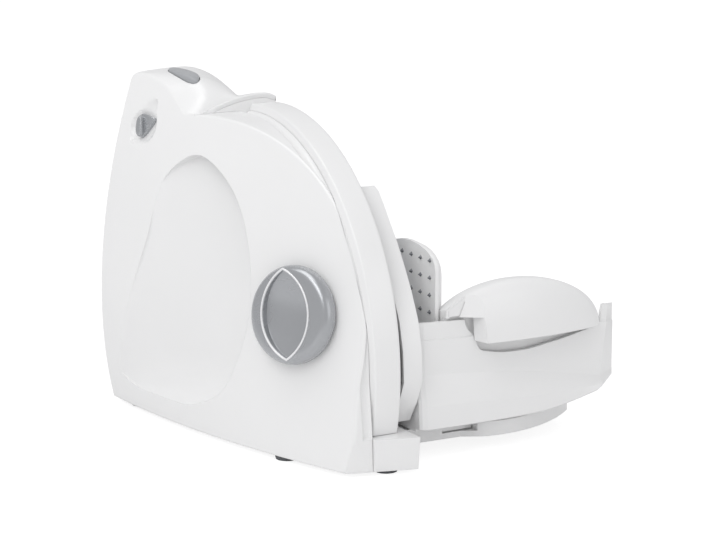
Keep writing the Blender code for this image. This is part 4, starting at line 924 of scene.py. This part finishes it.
# Safety lock: a finger bar over a plate, in its dish. Places across and up the face, heights out of it
latchSettings = {
    "barTop": (4.6, 6.6), "barFoot": (0.8, -7.6), "barHalf": 2.7,
    "wing": [(7.0, 7.6), (3.6, 8.4), (-6.4, 7.6), (-7.4, 6.2), (-0.2, -7.6), (2.6, -7.8)],
    # Scale and height of each ring
    "wingRings": [(1.0, -4.4), (1.0, -1.8), (0.94, -1.4)],
    "barRings": [(1.0, -4.4), (1.0, 0.8), (0.97, 1.6), (0.86, 2.3), (0.6, 2.6), (0.2, 2.7)],
    "stemRadius": 3.5, "stemHeights": (-9.0, -3.9), "points": 40,
}


def buildLock(s=latchSettings, d=lockSettings):
    out = faceNormal(*d["axis"])
    origin = Vector((faceX(*d["axis"]), *d["axis"]))
    across = (Vector((0, 1, 0)) - out * out[1]).normalized()
    up = across.cross(out)

    def place(u, v, height):
        return tuple(origin + across * u + up * v + out * height)

    wing = solidMesh("wing", [[place(u * k, v * k, h) for u, v in s["wing"]] for k, h in s["wingRings"]])
    (au, av), (bu, bv) = s["barTop"], s["barFoot"]
    length = math.hypot(bu - au, bv - av)
    du, dv = (au - bu) / length, (av - bv) / length
    angles = circle(s["points"])
    rings = []
    for k, h in s["barRings"]:
        oval = [(0.5 * length * k * math.cos(t), s["barHalf"] * k * math.sin(t)) for t in angles]
        rings.append([
            place(0.5 * (au + bu) + du * long - dv * wide, 0.5 * (av + bv) + dv * long + du * wide, h)
            for long, wide in oval
        ])
    radius = s["stemRadius"]
    stem = [[place(radius * math.cos(t), radius * math.sin(t), h) for t in angles] for h in s["stemHeights"]]
    mesh = joined(wing, solidMesh("bar", rings), solidMesh("stem", stem))
    addPiece("lockLatch", mesh, "silverLacquer", "lock", ["safety_lock"])


buildLock()
print("lock made")

# Folding plate: its CAD form, ending a little earlier on the right
plateSettings = {"right": 159.0}


def buildGuidePlate(s=plateSettings):
    mesh = cleaned(frame["nodes"]["guide_plate"].data, "guidePlate", merge=cadMerge)
    mesh = cleaned(carved(mesh, cutBox(left=s["right"])), "guidePlate", flat=cadFlat)
    addPiece("foldingPlate", mesh, "mouldedAbs", "housing", ["guide_plate"], sharp=30)


buildGuidePlate()
print("folding plate made")

# Carriage: the CAD table and runner, with a smooth near wall of its own
wallSettings = {
    # Stations along X, and what the wall is there
    "x": (19.6, 21.2, 24.6, 42.0, 84.0, 117.5, 142.0, 158.0),
    "top": (93.0, 93.4, 93.4, 92.5, 91.5, 91.0, 90.8, 90.4),
    "crease": (57.0, 57.0, 57.0, 56.5, 53.0, 48.5, 44.0, 41.2),
    "bottom": (22.4, 22.2, 22.0, 21.7, 21.9, 22.9, 27.8, 32.0),
    "back": (2.4, 0.9, 0.0, 0.0, 0.0, 0.0, 0.0, 0.0),
    "fixed": 3, "gridStart": 28.0, "gridStep": 5.0, "rounds": 6,
    "near": -91.0, "inner": -88.0, "innerShare": 0.2, "stepDrop": 12.0, "step": 0.9, "stepSlant": 0.7,
    "creaseAbove": (3.0, 1.2), "creaseOut": 0.25, "flare": 5.0, "footRound": 0.8,
    # Share of the flare, and shares of the crease's and the bottom's height
    "belly": [(0.45, 0.72, 0.28), (0.8, 0.45, 0.55)],
    # The facet's X at its foot and top, then top, crease, bottom and flare of the two last rings
    "facet": (161.5, 168.4), "facetRing": (90.0, 41.0, 34.0, 4.6), "endRing": (88.2, 42.5, 38.0, 0.4),
    "end": 176.8, "endBack": 7.0, "endWall": 2.0, "tableEnd": 150.0, "tableGap": 0.4, "flatNormal": 0.9999,
    "crescent": [(55.6, 130), (55.6, 92), (61.8, 81), (65.5, 73), (68.4, 70), (76, 68.2), (86.4, 66.7),
                 (103.6, 66.5), (121, 68.9), (138.5, 71.9), (156.2, 75.9), (161.0, 78.2), (162.6, 84),
                 (162.4, 130)],
    "crescentSteps": 6, "crescentY": (-115.0, -60.0),
}


def wallRing(xs, near, inner, top, crease, bottom, flare, s=wallSettings):
    """The wall's section: an inner side, a stepped top, a crease and a flared foot."""
    stepZ = top - s["stepDrop"]
    above, justAbove = s["creaseAbove"]
    points = [
        (inner, top), (near + s["step"], top), (near + s["step"], stepZ + s["stepSlant"]), (near, stepZ),
        (near, crease + above), (near, crease + justAbove), (near - s["creaseOut"], crease),
        *[(near - flare * out, high * crease + low * bottom) for out, high, low in s["belly"]],
        (near - flare, bottom + s["footRound"]), (near - flare + s["footRound"], bottom), (inner, bottom),
    ]
    footX, topX = xs
    lowest, highest = s["facetRing"][2], s["endRing"][0]
    rise = [min(max((z - lowest) / (highest - lowest), 0.0), 1.0) for _, z in points]
    return [(footX + (topX - footX) * share, y, z) for share, (y, z) in zip(rise, points)]


def buildWall(s=wallSettings):
    marks, fixed = s["x"], s["fixed"]
    grid = np.arange(s["gridStart"], marks[-1] + 0.5 * s["gridStep"], s["gridStep"])
    stations = np.concatenate([marks[:fixed], grid])
    lines = []
    for key in ("top", "crease", "bottom", "back"):
        line = np.interp(stations, marks, s[key])
        for _ in range(s["rounds"]):
            line[fixed:-1] = 0.25 * line[fixed - 1 : -2] + 0.5 * line[fixed:-1] + 0.25 * line[fixed + 1 :]
        lines.append(line)
    rings = []
    for x, top, crease, bottom, back in zip(stations, *lines):
        inner = s["inner"] + s["innerShare"] * back
        rings.append(wallRing((x, x), s["near"] + back, inner, top, crease, bottom, s["flare"]))
    rings.append(wallRing(s["facet"], s["near"], s["inner"], *s["facetRing"]))
    endNear = s["near"] + s["endBack"]
    rings.append(wallRing((s["end"], s["end"]), endNear, endNear + s["endWall"], *s["endRing"]))
    crescent = smoothLoop(s["crescent"], s["crescentSteps"]).tolist()
    return carved(solidMesh("wall", rings), prismMesh(crescent, *s["crescentY"], "Y"))


def buildCarriage(s=wallSettings):
    table = cleaned(frame["nodes"]["carriage"].data, "table", merge=cadMerge)
    table = carved(table, cutBox(far=s["inner"] - s["tableGap"]), cutBox(left=s["tableEnd"]))
    mesh = cleaned(joined(table, buildWall()), "carriageBody", cutMerge, cutFlat)
    addPiece("carriageBody", mesh, "mouldedAbs", "carriage", ["carriage"], sharp=12)
    # The flat near face and its like shade evenly
    for face in mesh.polygons:
        face.use_smooth = abs(face.normal.y) < s["flatNormal"]


buildCarriage()
print("carriage made")

# Moulded parts that keep their CAD form, with their edges rounded by this many millimetres
edgeSettings = {"base_bar": 0.7, "stop_plate": 0.8, "inner_panel": 0.0}


def buildDressed(node, bevel, sharp=35, segments=2):
    """A merged copy of a CAD node with its flat faces joined and its sharp edges rounded."""
    mesh = cleaned(frame["nodes"][node].data, f"{node}_dressed", cadMerge, cadFlat)
    obj = addPiece(f"{node}_dressed", mesh, "mouldedAbs", bodyOf[node], [node], sharp)
    if bevel:
        edge = obj.modifiers.new("edges", "BEVEL")
        edge.width = bevel / 1000
        edge.segments = segments
        edge.limit_method = "ANGLE"
        edge.angle_limit = math.radians(sharp)
        edge.harden_normals = True


for node, bevel in edgeSettings.items():
    buildDressed(node, bevel)
print("moulded parts dressed")

# Stage: a pale floor, a white surround and soft lamps. Lengths in metres, power in watts
stageSettings = {
    "floorHalf": 6, "floorColour": "F7F7F7", "roughness": 0.9, "specular": 0.1, "glow": 0.86,
    "shadowTone": 0.3, "surround": (0.99, 0.99, 1.0, 1.0), "surroundStrength": 0.64,
    "target": (0, 0, 0.1),
    "lamps": {
        "keyLamp": {"place": (-1.5, -0.9, 1.7), "size": 1.2, "watts": 10.5},
        "fillLamp": {"place": (0.7, -1.9, 0.8), "size": 1.3, "watts": 3.6},
        "topLamp": {"place": (-0.8, 0.1, 2.1), "size": 1.3, "watts": 9.5},
    },
}
white = (1.0, 1.0, 1.0, 1.0)


def buildFloor(s=stageSettings):
    """A floor the camera sees nearly white, with only a trace of the contact shadow."""
    half, tone = s["floorHalf"], s["shadowTone"]
    floor = bpy.data.objects.new("stageFloor", bpy.data.meshes.new("stageFloor"))
    corners = [(-half, -half, 0), (half, -half, 0), (half, half, 0), (-half, half, 0)]
    floor.data.from_pydata(corners, [], [(0, 1, 2, 3)])
    bpy.context.scene.collection.objects.link(floor)
    material, tree, shader = newMaterial("paleFloor")
    dull = {"Roughness": s["roughness"], "Specular IOR Level": s["specular"]}
    wired(tree, shader, {"Base Color": toLinear(s["floorColour"]), **dull})
    seen = addNode(tree, "LightPath").outputs["Is Camera Ray"]
    glow = addNode(tree, "Emission", {"Color": white, "Strength": s["glow"]}).outputs[0]
    dimmed = addNode(tree, "BsdfDiffuse", {"Color": (tone, tone, tone, 1.0)}).outputs[0]
    shown = addNode(tree, "AddShader", None, {0: glow, 1: dimmed}).outputs[0]
    mixed = addNode(tree, "MixShader", None, {0: seen, 1: shader.outputs[0], 2: shown}).outputs[0]
    wired(tree, tree.nodes["Material Output"], None, {"Surface": mixed})
    floor.data.materials.append(material)


def buildSurround(s=stageSettings):
    """Plain white to the camera, dimmer as a light."""
    world = bpy.data.worlds.new("studio")
    bpy.context.scene.world = world
    world.use_nodes = True
    tree = world.node_tree
    tree.nodes.clear()
    rays = addNode(tree, "LightPath").outputs
    both = {0: rays["Is Camera Ray"], 1: rays["Is Transmission Ray"]}
    seen = addNode(tree, "Math", None, both, operation="MAXIMUM").outputs[0]
    dim = addNode(tree, "Background", {"Color": s["surround"], "Strength": s["surroundStrength"]}).outputs[0]
    plain = addNode(tree, "Background", {"Color": white, "Strength": 1.0}).outputs[0]
    mix = addNode(tree, "MixShader", None, {0: seen, 1: dim, 2: plain}).outputs[0]
    addNode(tree, "OutputWorld", None, {"Surface": mix})


def buildLamps(s=stageSettings):
    for name, settings in s["lamps"].items():
        data = bpy.data.lights.new(name, "AREA")
        data.shape = "SQUARE"
        data.size = settings["size"]
        data.energy = settings["watts"]
        lamp = bpy.data.objects.new(name, data)
        lamp.location = settings["place"]
        away = Vector(settings["place"]) - Vector(s["target"])
        lamp.rotation_euler = away.to_track_quat("Z", "Y").to_euler()
        bpy.context.scene.collection.objects.link(lamp)


buildFloor()
buildSurround()
buildLamps()
bpy.context.scene.view_settings.view_transform = "Standard"
print("stage made")
